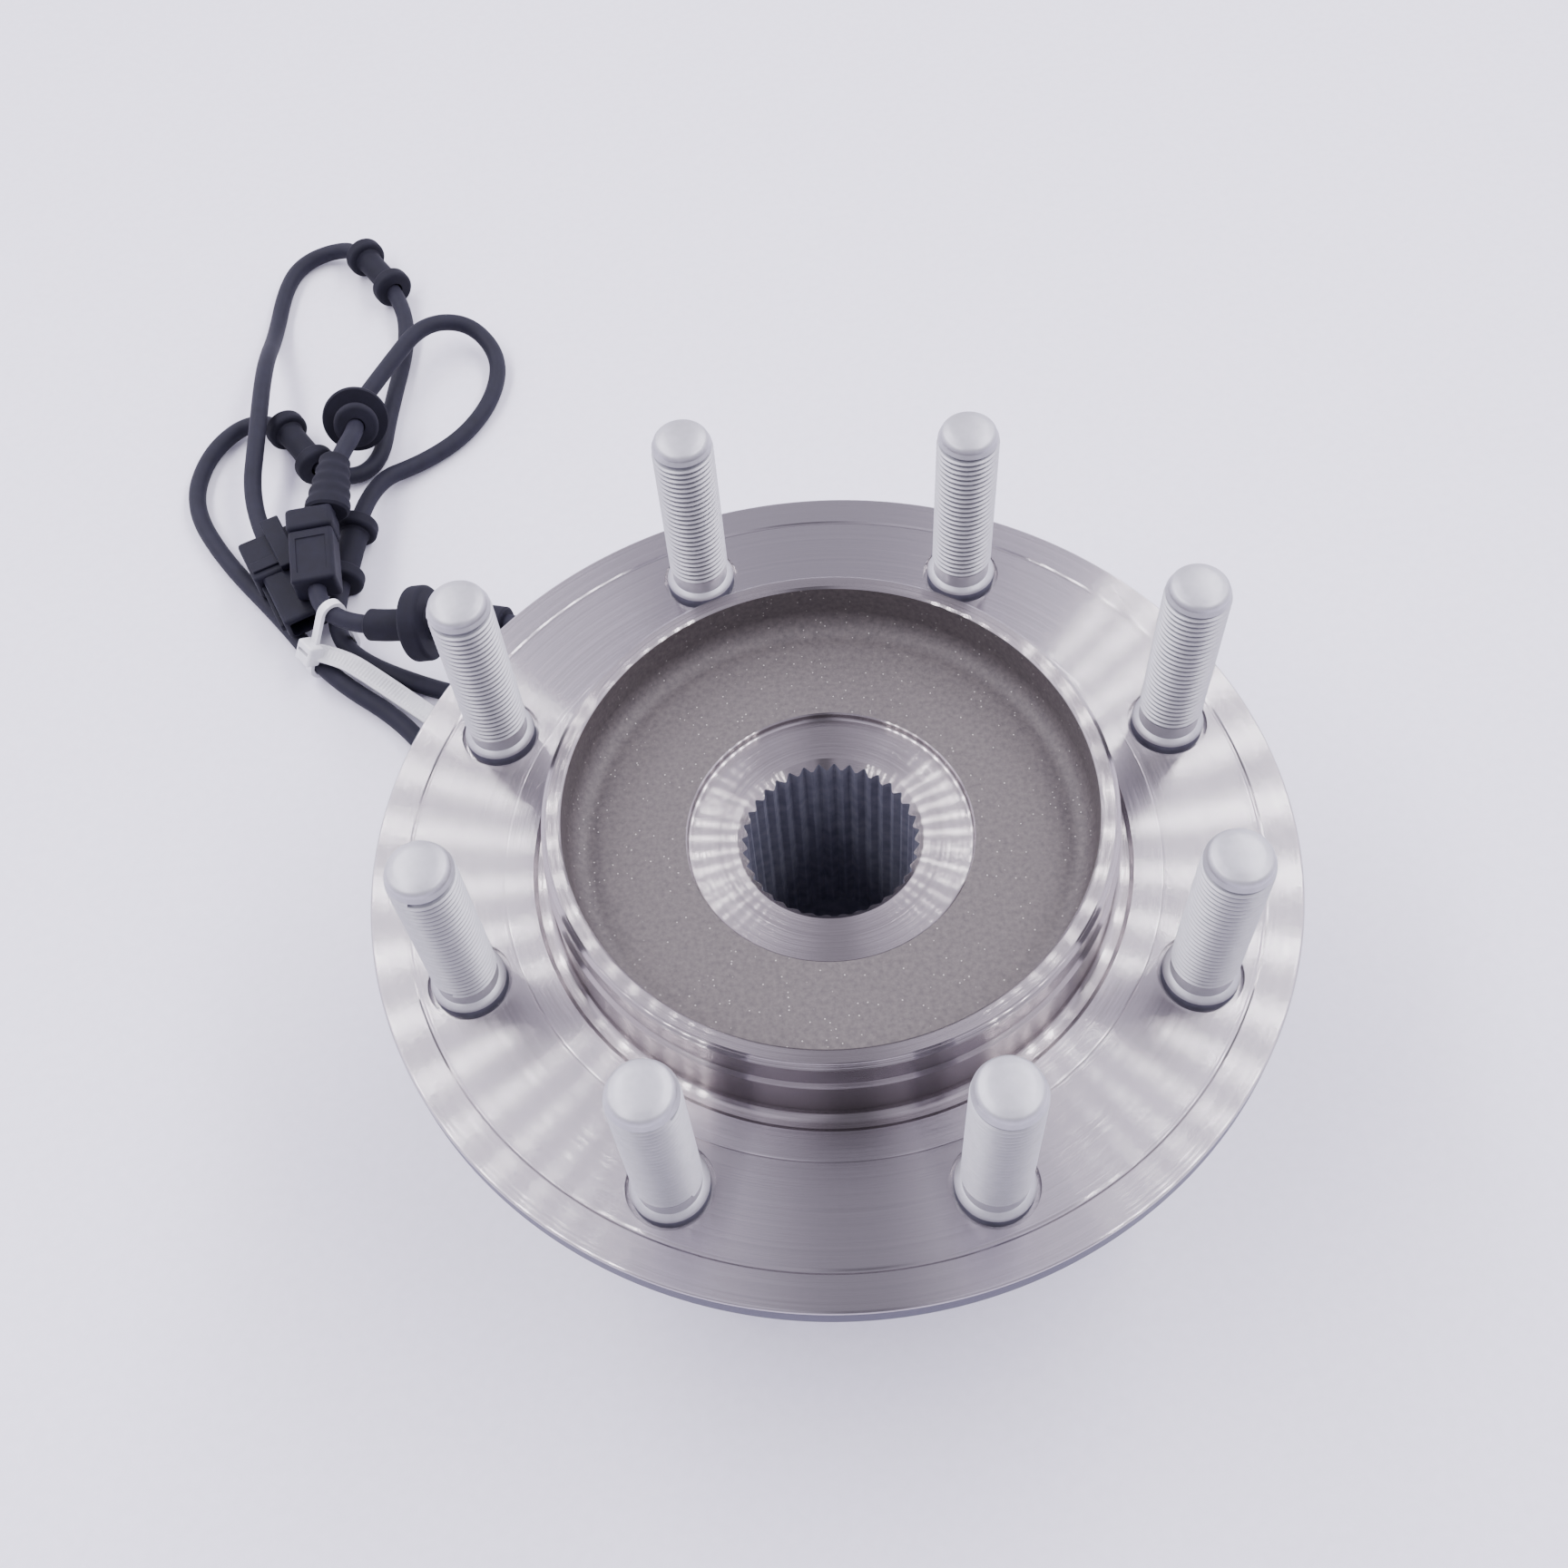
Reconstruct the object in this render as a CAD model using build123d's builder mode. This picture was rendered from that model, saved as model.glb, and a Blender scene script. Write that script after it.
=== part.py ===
from build123d import *
import os
from math import cos, pi, radians, sin, sqrt, tan

# Front wheel hub bearing unit of a four-wheel-drive pickup, in millimetres.
# The unit stands on the inboard end of its bearing housing: origin on the hub axis at that end,
# +Z along the axis towards the wheel, wheel studs pointing up.

os.makedirs("parts", exist_ok=True)

# ---- wheel flange and pilot ----
FACE_Z = 86.0              # wheel seating face above the housing's inboard end
FLANGE_D = 202.6
FLANGE_T = 15.0            # thickness where the studs sit
RIM_T = 5.2                # thickness at the outer edge
RIM_CHAMFER = 0.8
STUD_SEAT_R = 94.6         # flat back face reaches this far out
RIM_GROOVE_R = 93.3        # turned groove just outside the studs
RIM_GROOVE_W = 1.5
RIM_GROOVE_DEPTH = 0.45
WHEEL_PILOT_D = 121.1
DISC_PILOT_D = 122.8       # brake disc centres here, below the wheel
DISC_PILOT_H = 12.5
PILOT_H = 19.9
PILOT_CHAMFER = 1.2
PILOT_BORE_D = 112.8
RELIEF_R = 64.6            # undercut between the disc pilot and the face
RELIEF_DEPTH = 0.9
RELIEF_FILLET = 0.8
CUP_FLOOR_RISE = 6.7       # forged floor inside the pilot, above the wheel face
CUP_FILLET = 5.0
SPOT_FACE_R = 31.0
SPOT_FACE_DEPTH = 2.3

# ---- splined bore ----
SPLINE_TEETH = 35
SPLINE_MAJOR_D = 38.6
SPLINE_MINOR_D = 36.6
SPLINE_LENGTH = 62.0
SPLINE_SPACE_WIDE = 2.05   # tooth space at the minor diameter
SPLINE_SPACE_NARROW = 1.15 # tooth space at the major diameter
BORE_CHAMFER = 1.9
TAIL_BORE_D = 39.6
TAIL_CHAMFER = 2.5

# ---- wheel studs ----
STUD_COUNT = 8
STUD_CIRCLE_D = 165.1
STUD_START_ANGLE = 17.36
STUD_THREAD_D = 14.0
STUD_STANDOUT = 49.4
STUD_TIP_D = 12.6
STUD_TIP_L = 3.2
STUD_TIP_ROUND = 1.3
STUD_NECK_D = 13.2         # plain shank between collar and thread
STUD_NECK_L = 4.0
STUD_COLLAR_D = 16.0
STUD_COLLAR_RISE = 2.2     # collar stands this far above the wheel face
STUD_COLLAR_CHAMFER = 0.9
STUD_KNURL_D = 15.7
STUD_HEAD_D = 22.0
STUD_HEAD_T = 4.5
STUD_MOUTH_D = 17.5        # relief round each collar in the wheel face
STUD_MOUTH_DEPTH = 3.0

# ---- taper roller rows (one row each side of BEARING_Z) ----
BEARING_Z = 34.0
ROW_OFFSET = 14.5          # from BEARING_Z to the middle of each row
PITCH_R = 44.0
ROLLER_COUNT = 18
ROLLER_R = 5.2             # at mid length
ROLLER_L = 13.0
ROLLER_TILT = 18.0         # roller axis to hub axis
ROLLER_TAPER = 2.0         # half angle of the roller's cone
TRACK_GAP = 0.3
RIB_GAP = 0.3
RIB_T = 7.3
BIG_RIB_H = 3.86           # big rib of the inner rings, also the seal land
SMALL_RIB_H = 1.3
SMALL_RIB_T = 3.6
CONE_WALL = 3.89           # inner ring under the small end of its track
SHOULDER_STEP = 9.0        # hub shoulder beyond the spindle
SHOULDER_FILLET = 2.5
TRACK_RUN_IN = 0.9         # outer track beyond the roller's small end
TRACK_RUN_OUT = 2.6        # outer track beyond the roller's large end
CAGE_OFFSET = 1.5          # cage lies outside the roller axes by this
CAGE_T = 1.2
CAGE_END = 1.5             # cage beyond each roller end
CAGE_LIP = 2.6
POCKET_GAP = 0.25

# ---- formed lip and standing face ----
LIP_REACH = 7.0            # lip beyond the spindle
LIP_T = 4.4
LIP_ROUND = 1.8

# ---- bearing housing ----
SEAL_STEP = 1.65           # seal bore beyond the large end of the outer track
HOUSING_WALL = 6.0
HOUSING_TOP_Z = 65.0
HOUSING_FILLET = 4.0
KNUCKLE_PILOT_D = 124.9
KNUCKLE_FACE_Z = 24.0
KNUCKLE_FLANGE_T = 14.0
KNUCKLE_CIRCLE_D = 152.4
KNUCKLE_BOLTS = 4
KNUCKLE_HOLE_D = 12.0      # tapping size for M14 x 2
KNUCKLE_EAR_WALL = 6.3
KNUCKLE_START_ANGLE = 62.0
EAR_BLEND_SHARE = 0.54     # of the ears' reach beyond the bolted flange
FLANGE_STEP = 1.0          # bolted flange beyond the fillet at the barrel's foot
HOUSING_CHAMFER = 1.5

# ---- seals (both ends alike) ----
SEAL_START = 22.6          # from BEARING_Z to the inner side of the seal case
SEAL_CASE_T = 1.1
SEAL_DEPTH = 6.2
SEAL_THROAT = 2.7          # seal case clear of the slinger's sleeve
SLINGER_T = 1.0
SLINGER_GAP = 0.5
LIP_GAP = 0.3

# ---- tone ring between the rows ----
SPACER_T = 3.4
TONE_CLEARANCE = 4.2       # from the housing's bore between the tracks
TONE_W = 8.6
TONE_TEETH = 48
TONE_SLOT_DEPTH = 2.6

# ---- wheel speed sensor ----
SENSOR_ANGLE = 120.0
SENSOR_STANDOFF = 1.0      # machined seat beyond the bolted flange
SENSOR_NOSE_D = 10.4
SENSOR_HOLE_D = 10.8
SENSOR_AIR_GAP = 0.8
SENSOR_PLATE_T = 5.0
SENSOR_HEAD_R = 8.5
SENSOR_HEAD_L = 12.0
SENSOR_REACH = 26.0        # from the seat to where the lead leaves
SENSOR_BOLT_PITCH = 16.0
SENSOR_EAR_R = 7.5
BUSH_D = 9.0
SENSOR_BOLT_D = 6.0
SENSOR_BOLT_CLEARANCE = 0.25
SENSOR_BOLT_HEAD_AF = 10.0
SENSOR_BOLT_HEAD_H = 5.0
SENSOR_BOLT_FLANGE_D = 13.0
SENSOR_BOLT_GRIP = 10.0
ORING_SECTION_D = 1.7
ORING_SEAT_DEPTH = 5.0     # groove below the seat
BOSS_MARGIN = 2.3
BOSS_DEPTH = 14.0

# ---- sensor lead with its grommets, splice, connector and tie ----
LEAD_D = 5.5
LEAD_STRAIGHT = 43.0       # first straight run out of the sensor
ARC_SHARE = 0.45           # share of the shorter run that each bend takes up
SLEEVE_D = 9.4
SLEEVE_L = 44.0
SLEEVE_DISC_D = 22.0
SLEEVE_DISC_T = 6.0
SLEEVE_DISC_SHIFT = 5.0    # disc beyond the middle of the sleeve, away from the sensor
CLIP_DISC_D = 13.4
CLIP_DISC_T = 4.8
CLIP_NECK_D = 8.4
CLIP_PITCH = 20.0
DOME_D = 21.0
DOME_H = 6.5
DOME_LIP_T = 1.6
DOME_SMALL_D = 14.0
DOME_SMALL_T = 4.2
DOME_NECK_D = 10.4
DOME_NECK_L = 3.2
SPLICE_L = 20.0
SPLICE_W = 13.5
SPLICE_H = 10.0
SPLICE_COLLAR_L = 8.5
SPLICE_COLLAR_W = 14.4
SPLICE_COLLAR_H = 11.0
BOOT_L = 21.0
BOOT_TIP_D = 9.6
BOOT_BASE_W = 14.0
BOOT_BASE_H = 10.4
PLUG_HEAD_L = 17.0
PLUG_HEAD_W = 17.6
PLUG_HEAD_H = 9.6
PLUG_NOSE_L = 20.0
PLUG_NOSE_W = 12.6
PLUG_NOSE_H = 8.0
PLUG_WALL = 1.4
PLUG_POCKET_L = 15.0
PLUG_RUN_L = 18.0          # straight run of the lead into the head
LATCH_W = 6.0
LATCH_T = 2.0
LATCH_L = 21.0
LATCH_BACK = 3.2           # thumb end of the latch behind the head
LATCH_OFFSET = 3.2         # latch beside the lead
RAIL_W = 2.4
RAIL_T = 1.3
PIN_D = 1.5
PIN_PITCH = 4.0
PIN_L = 9.0
TIE_T = 1.2
TIE_LOOP_W = 2.6
TIE_TAIL_W = 5.0
TIE_HEAD_W = 6.6
TIE_HEAD_H = 4.6
TIE_GAP = 0.3
TIE_REACH = 15.0           # strands within this of the tie's middle are bound

# ---- derived sizes ----
FLANGE_R = FLANGE_D / 2
FLANGE_BACK_Z = FACE_Z - FLANGE_T
PILOT_TOP_Z = FACE_Z + PILOT_H
CUP_FLOOR_Z = FACE_Z + CUP_FLOOR_RISE
SPOT_FACE_Z = CUP_FLOOR_Z - SPOT_FACE_DEPTH
WHEEL_PILOT_R = WHEEL_PILOT_D / 2
DISC_PILOT_R = DISC_PILOT_D / 2
PILOT_BORE_R = PILOT_BORE_D / 2
SPLINE_MINOR_R = SPLINE_MINOR_D / 2
SPLINE_MAJOR_R = SPLINE_MAJOR_D / 2
SPLINE_BOTTOM_Z = SPOT_FACE_Z - SPLINE_LENGTH
TAIL_BORE_R = TAIL_BORE_D / 2
LEAD_R = LEAD_D / 2


# ---- shared geometry helpers ----
def turn(points, frame=Plane.XY, mode=Mode.ADD):
    """Revolve a closed half outline of (radius, height) points about the normal of a plane."""
    half_plane = Plane(origin=frame.origin, x_dir=frame.x_dir, z_dir=frame.y_dir * -1)
    with BuildSketch(half_plane) as half:
        with BuildLine():
            Polyline(*points, close=True)
        make_face()
    revolve(half.sketch, axis=Axis(frame.origin, frame.z_dir), mode=mode)


def row_points(points, side):
    """Place (radius, height) points measured from the bearing's middle on one side of it."""
    return [(radius, BEARING_Z + side * height) for radius, height in points]


def along(axial, out):
    """Point of a row: axial from the roller's middle along its axis, out square to that axis."""
    tilt = radians(ROLLER_TILT)
    radius = PITCH_R + axial * sin(tilt) + out * cos(tilt)
    height = ROW_OFFSET + axial * cos(tilt) - out * sin(tilt)
    return radius, height


def roller_radius(axial):
    """Radius of the tapered roller at a distance along its axis."""
    return ROLLER_R + axial * tan(radians(ROLLER_TAPER))


def track(axial, facing):
    """Point of a raceway: facing is +1 for the outer track, -1 for the inner one."""
    return along(axial, facing * (roller_radius(axial) + TRACK_GAP))


HALF_ROLLER = ROLLER_L / 2
INNER_SMALL = track(-HALF_ROLLER - RIB_GAP, -1)
INNER_LARGE = track(HALF_ROLLER + RIB_GAP, -1)
OUTER_SMALL = track(-HALF_ROLLER - TRACK_RUN_IN, 1)
OUTER_LARGE = track(HALF_ROLLER + TRACK_RUN_OUT, 1)
RIB_R = INNER_LARGE[0] + BIG_RIB_H
RIB_FOOT = INNER_LARGE[1] - (RIB_R - INNER_LARGE[0]) * tan(radians(ROLLER_TILT))
CONE_BACK = RIB_FOOT + RIB_T                    # from BEARING_Z, both rows
SMALL_RIB_TOP = INNER_SMALL[0] + SMALL_RIB_H
CONE_FRONT = INNER_SMALL[1] - SMALL_RIB_T
CONE_BACK_HIGH_Z = BEARING_Z + CONE_BACK
CONE_BACK_LOW_Z = BEARING_Z - CONE_BACK
LIP_Z = CONE_BACK_LOW_Z - LIP_T
SPINDLE_R = INNER_SMALL[0] - CONE_WALL
SHOULDER_R = SPINDLE_R + SHOULDER_STEP
LIP_R = SPINDLE_R + LIP_REACH
SPACER_R = SPINDLE_R + SPACER_T
TONE_R = OUTER_SMALL[0] - TONE_CLEARANCE
SEAL_BORE_R = OUTER_LARGE[0] + SEAL_STEP
HOUSING_R = SEAL_BORE_R + HOUSING_WALL
KNUCKLE_BODY_R = HOUSING_R + HOUSING_FILLET + FLANGE_STEP
KNUCKLE_EAR_R = KNUCKLE_HOLE_D / 2 + KNUCKLE_EAR_WALL
SENSOR_SEAT_R = KNUCKLE_BODY_R + SENSOR_STANDOFF
SENSOR_EXIT_R = SENSOR_SEAT_R + SENSOR_REACH

# ---- wheel hub: flange, pilot, splined bore and spindle in one forging ----
hub_outline = [
    (TAIL_BORE_R, LIP_Z + TAIL_CHAMFER),
    (TAIL_BORE_R + TAIL_CHAMFER, LIP_Z),
    (LIP_R, LIP_Z),
    (LIP_R, CONE_BACK_LOW_Z),
    (SPINDLE_R, CONE_BACK_LOW_Z),
    (SPINDLE_R, CONE_BACK_HIGH_Z),
    (SHOULDER_R, CONE_BACK_HIGH_Z),
    (SHOULDER_R, FLANGE_BACK_Z),
    (STUD_SEAT_R, FLANGE_BACK_Z),
    (FLANGE_R, FACE_Z - RIM_T),
    (FLANGE_R, FACE_Z - RIM_CHAMFER),
    (FLANGE_R - RIM_CHAMFER, FACE_Z),
    (RIM_GROOVE_R + RIM_GROOVE_W / 2, FACE_Z),
    (RIM_GROOVE_R, FACE_Z - RIM_GROOVE_DEPTH),
    (RIM_GROOVE_R - RIM_GROOVE_W / 2, FACE_Z),
    (RELIEF_R + RELIEF_DEPTH, FACE_Z),
    (RELIEF_R, FACE_Z - RELIEF_DEPTH),
    (DISC_PILOT_R, FACE_Z - RELIEF_DEPTH),
    (DISC_PILOT_R, FACE_Z + DISC_PILOT_H - (DISC_PILOT_R - WHEEL_PILOT_R)),
    (WHEEL_PILOT_R, FACE_Z + DISC_PILOT_H),
    (WHEEL_PILOT_R, PILOT_TOP_Z - PILOT_CHAMFER),
    (WHEEL_PILOT_R - PILOT_CHAMFER, PILOT_TOP_Z),
    (PILOT_BORE_R, PILOT_TOP_Z),
    (PILOT_BORE_R, CUP_FLOOR_Z),
    (SPOT_FACE_R, CUP_FLOOR_Z),
    (SPOT_FACE_R, SPOT_FACE_Z),
    (SPLINE_MINOR_R + BORE_CHAMFER, SPOT_FACE_Z),
    (SPLINE_MINOR_R, SPOT_FACE_Z - BORE_CHAMFER),
    (SPLINE_MINOR_R, SPLINE_BOTTOM_Z),
    (TAIL_BORE_R, SPLINE_BOTTOM_Z - (TAIL_BORE_R - SPLINE_MINOR_R)),
]
hub_rounds = [
    ((LIP_R, LIP_Z), LIP_ROUND),
    ((SHOULDER_R, FLANGE_BACK_Z), SHOULDER_FILLET),
    ((DISC_PILOT_R, FACE_Z - RELIEF_DEPTH), RELIEF_FILLET),
    ((PILOT_BORE_R, CUP_FLOOR_Z), CUP_FILLET),
]
spline_space = [
    (SPLINE_MINOR_R - 0.5, -SPLINE_SPACE_WIDE / 2),
    (SPLINE_MAJOR_R, -SPLINE_SPACE_NARROW / 2),
    (SPLINE_MAJOR_R, SPLINE_SPACE_NARROW / 2),
    (SPLINE_MINOR_R - 0.5, SPLINE_SPACE_WIDE / 2),
]
with BuildPart() as wheel_hub:
    with BuildSketch(Plane.XZ) as hub_half:
        with BuildLine():
            Polyline(*hub_outline, close=True)
        make_face()
        for corner, radius in hub_rounds:
            fillet(hub_half.vertices().sort_by_distance(corner)[0], radius=radius)
    revolve(axis=Axis.Z)
    with BuildSketch(Plane.XY.offset(SPOT_FACE_Z)):
        with PolarLocations(0, SPLINE_TEETH):
            Polygon(*spline_space, align=None)
    extrude(amount=-SPLINE_LENGTH - (TAIL_BORE_R - SPLINE_MINOR_R), mode=Mode.SUBTRACT)
    with BuildSketch(Plane.XY.offset(FLANGE_BACK_Z)):
        with PolarLocations(STUD_CIRCLE_D / 2, STUD_COUNT, start_angle=STUD_START_ANGLE):
            Circle(STUD_KNURL_D / 2)
    extrude(amount=FLANGE_T, mode=Mode.SUBTRACT)
    with BuildSketch(Plane.XY.offset(FACE_Z)):
        with PolarLocations(STUD_CIRCLE_D / 2, STUD_COUNT, start_angle=STUD_START_ANGLE):
            Circle(STUD_MOUTH_D / 2)
    extrude(amount=-STUD_MOUTH_DEPTH, mode=Mode.SUBTRACT)
wheel_hub.part.label = "wheel_hub"
export_step(wheel_hub.part, "parts/wheel_hub.step")

# ---- wheel studs: pressed in from behind, head, knurl, collar, threaded shank and dog point ----
stud_base_z = FLANGE_BACK_Z - STUD_HEAD_T
mouth_floor_z = FACE_Z - STUD_MOUTH_DEPTH
collar_top_z = FACE_Z + STUD_COLLAR_RISE
stud_top_z = FACE_Z + STUD_STANDOUT
stud_outline = [
    (0, stud_base_z),
    (STUD_HEAD_D / 2, stud_base_z),
    (STUD_HEAD_D / 2, FLANGE_BACK_Z),
    (STUD_KNURL_D / 2, FLANGE_BACK_Z),
    (STUD_KNURL_D / 2, mouth_floor_z),
    (STUD_COLLAR_D / 2, mouth_floor_z),
    (STUD_COLLAR_D / 2, collar_top_z - STUD_COLLAR_CHAMFER),
    (STUD_NECK_D / 2, collar_top_z),
    (STUD_NECK_D / 2, collar_top_z + STUD_NECK_L),
    (STUD_THREAD_D / 2, collar_top_z + STUD_NECK_L + (STUD_THREAD_D - STUD_NECK_D) / 2),
    (STUD_THREAD_D / 2, stud_top_z - STUD_TIP_L),
    (STUD_TIP_D / 2, stud_top_z - STUD_TIP_L + (STUD_THREAD_D - STUD_TIP_D) / 2),
    (STUD_TIP_D / 2, stud_top_z - STUD_TIP_ROUND),
    (STUD_TIP_D / 2 - STUD_TIP_ROUND, stud_top_z),
    (0, stud_top_z),
]
with BuildPart() as single_stud:
    turn(stud_outline)
with BuildPart() as wheel_studs:
    with PolarLocations(STUD_CIRCLE_D / 2, STUD_COUNT, start_angle=STUD_START_ANGLE):
        add(single_stud.part)
wheel_studs.part.label = "wheel_studs"
export_step(wheel_studs.part, "parts/wheel_studs.step")

# ---- inner rings, cages, rollers and seals: one of each for the outboard and inboard row ----
cone_outline = [
    (SPINDLE_R, CONE_FRONT),
    (SMALL_RIB_TOP, CONE_FRONT),
    (SMALL_RIB_TOP, INNER_SMALL[1] - SMALL_RIB_H * tan(radians(ROLLER_TILT))),
    INNER_SMALL,
    INNER_LARGE,
    (RIB_R, RIB_FOOT),
    (RIB_R, CONE_BACK),
    (SPINDLE_R, CONE_BACK),
]
cage_in = -HALF_ROLLER - CAGE_END
cage_out = HALF_ROLLER + CAGE_END
cage_outline = [
    along(cage_in, CAGE_OFFSET - CAGE_LIP),
    along(cage_in + CAGE_T, CAGE_OFFSET - CAGE_LIP),
    along(cage_in + CAGE_T, CAGE_OFFSET),
    along(cage_out, CAGE_OFFSET),
    along(cage_out, CAGE_OFFSET + CAGE_T),
    along(cage_in, CAGE_OFFSET + CAGE_T),
]
POCKET_W = 2 * (sqrt(roller_radius(HALF_ROLLER) ** 2 - CAGE_OFFSET**2) + POCKET_GAP)
POCKET_L = ROLLER_L + 2 * POCKET_GAP
seal_end = SEAL_START + SEAL_DEPTH
case_wall_r = SEAL_BORE_R - SEAL_CASE_T
slinger_sleeve_r = RIB_R + SLINGER_T
case_inner_r = slinger_sleeve_r + SEAL_THROAT
case_outline = [
    (case_inner_r, SEAL_START),
    (SEAL_BORE_R, SEAL_START),
    (SEAL_BORE_R, seal_end),
    (case_wall_r, seal_end),
    (case_wall_r, SEAL_START + SEAL_CASE_T),
    (case_inner_r, SEAL_START + SEAL_CASE_T),
]
slinger_rim_r = case_wall_r - SLINGER_GAP
slinger_start = SEAL_START + SEAL_CASE_T
slinger_end = min(seal_end, CONE_BACK)
slinger_outline = [
    (RIB_R, slinger_start),
    (slinger_sleeve_r, slinger_start),
    (slinger_sleeve_r, slinger_end - SLINGER_T),
    (slinger_rim_r, slinger_end - SLINGER_T),
    (slinger_rim_r, slinger_end),
    (RIB_R, slinger_end),
]
lip_root = SEAL_START + SEAL_CASE_T
lip_face = slinger_end - SLINGER_T - LIP_GAP
rubber_w = case_wall_r - case_inner_r
rubber_h = lip_face - lip_root
rubber_outline = [
    (case_inner_r + 0.12 * rubber_w, lip_root),
    (case_inner_r + 0.79 * rubber_w, lip_root),
    (case_inner_r + 0.7 * rubber_w, lip_root + 0.32 * rubber_h),
    (case_inner_r + 0.51 * rubber_w, lip_root + 0.32 * rubber_h),
    (case_inner_r + 0.64 * rubber_w, lip_face),
    (case_inner_r + 0.47 * rubber_w, lip_face),
    (case_inner_r + 0.26 * rubber_w, lip_root + 0.37 * rubber_h),
    (slinger_sleeve_r + LIP_GAP, lip_root + 0.63 * rubber_h),
    (slinger_sleeve_r + LIP_GAP, lip_root + 0.42 * rubber_h),
]


def pocket_plane(side, index):
    """Plane of one cage pocket, its X along the roller and its normal straight out."""
    angle = radians(index * 360 / ROLLER_COUNT)
    tilt = radians(ROLLER_TILT)
    radius, height = along(0, CAGE_OFFSET)
    outward = (cos(tilt) * cos(angle), cos(tilt) * sin(angle), -side * sin(tilt))
    endways = (sin(tilt) * cos(angle), sin(tilt) * sin(angle), side * cos(tilt))
    middle = (radius * cos(angle), radius * sin(angle), BEARING_Z + side * height)
    return Plane(origin=middle, x_dir=endways, z_dir=outward)


def make_cone(side):
    """Inner ring of one row."""
    with BuildPart() as cone:
        turn(row_points(cone_outline, side))
    return cone.part


def make_cage(side):
    """Pressed steel cage of one row, with a pocket for every roller."""
    pockets = [pocket_plane(side, index) for index in range(ROLLER_COUNT)]
    with BuildPart() as cage:
        turn(row_points(cage_outline, side))
        with BuildSketch(*pockets):
            Rectangle(POCKET_L, POCKET_W)
        extrude(amount=CAGE_T + CAGE_OFFSET, both=True, mode=Mode.SUBTRACT)
    return cage.part


def make_rollers(side):
    """The tapered rollers of one row, as separate solids."""
    radius, height = along(0, 0)
    tilt = radians(ROLLER_TILT)
    middle = (radius, 0, BEARING_Z + side * height)
    endways = (sin(tilt), 0, side * cos(tilt))
    half_outline = [
        (0, -HALF_ROLLER),
        (roller_radius(-HALF_ROLLER), -HALF_ROLLER),
        (roller_radius(HALF_ROLLER), HALF_ROLLER),
        (0, HALF_ROLLER),
    ]
    with BuildPart() as roller:
        turn(half_outline, Plane(origin=middle, x_dir=(0, 1, 0), z_dir=endways))
    with BuildPart() as rollers:
        with PolarLocations(0, ROLLER_COUNT):
            add(roller.part)
    return rollers.part


def make_ring(outline, side):
    """Any turned ring of one row, from its half outline."""
    with BuildPart() as ring:
        turn(row_points(outline, side))
    return ring.part


for row_name, row_side in (("outboard", 1), ("inboard", -1)):
    row_pieces = {
        "cone": make_cone(row_side),
        "cage": make_cage(row_side),
        "rollers": make_rollers(row_side),
        "seal_case": make_ring(case_outline, row_side),
        "seal_lip": make_ring(rubber_outline, row_side),
        "seal_slinger": make_ring(slinger_outline, row_side),
    }
    for piece_name, piece in row_pieces.items():
        piece.label = f"{row_name}_{piece_name}"
        export_step(piece, f"parts/{row_name}_{piece_name}.step")

# ---- spacer and tone ring, pressed on between the inner rings ----
with BuildPart() as cone_spacer:
    turn(row_points([(SPINDLE_R, -CONE_FRONT), (SPACER_R, -CONE_FRONT), (SPACER_R, CONE_FRONT),
                     (SPINDLE_R, CONE_FRONT)], 1))
cone_spacer.part.label = "cone_spacer"
export_step(cone_spacer.part, "parts/cone_spacer.step")

tone_slot_w = pi * TONE_R / TONE_TEETH
with BuildPart() as tone_ring:
    with BuildSketch(Plane.XY.offset(BEARING_Z - TONE_W / 2)):
        Circle(TONE_R)
        Circle(SPACER_R, mode=Mode.SUBTRACT)
        with PolarLocations(TONE_R, TONE_TEETH):
            Rectangle(2 * TONE_SLOT_DEPTH, tone_slot_w, mode=Mode.SUBTRACT)
    extrude(amount=TONE_W)
tone_ring.part.label = "tone_ring"
export_step(tone_ring.part, "parts/tone_ring.step")

# ---- bearing housing: knuckle pilot, bolted flange, barrel and sensor boss ----
SENSOR_TURN = radians(SENSOR_ANGLE)
sensor_out = Vector(cos(SENSOR_TURN), sin(SENSOR_TURN), 0)
sensor_side = Vector(-sin(SENSOR_TURN), cos(SENSOR_TURN), 0)


def sensor_plane(radius):
    """Plane square to the sensor's axis at a distance from the hub axis, X along the bolt pitch."""
    return Plane(origin=sensor_out * radius + Vector(0, 0, BEARING_Z), x_dir=sensor_side, z_dir=sensor_out)


KNUCKLE_TOP_Z = KNUCKLE_FACE_Z + KNUCKLE_FLANGE_T
cavity = [
    (0, -1),
    (SEAL_BORE_R, -1),
    (SEAL_BORE_R, BEARING_Z - OUTER_LARGE[1]),
    (OUTER_LARGE[0], BEARING_Z - OUTER_LARGE[1]),
    (OUTER_SMALL[0], BEARING_Z - OUTER_SMALL[1]),
    (OUTER_SMALL[0], BEARING_Z + OUTER_SMALL[1]),
    (OUTER_LARGE[0], BEARING_Z + OUTER_LARGE[1]),
    (SEAL_BORE_R, BEARING_Z + OUTER_LARGE[1]),
    (SEAL_BORE_R, HOUSING_TOP_Z + 1),
    (0, HOUSING_TOP_Z + 1),
]
bolt_hole = (-SENSOR_BOLT_PITCH, 0)
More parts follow.
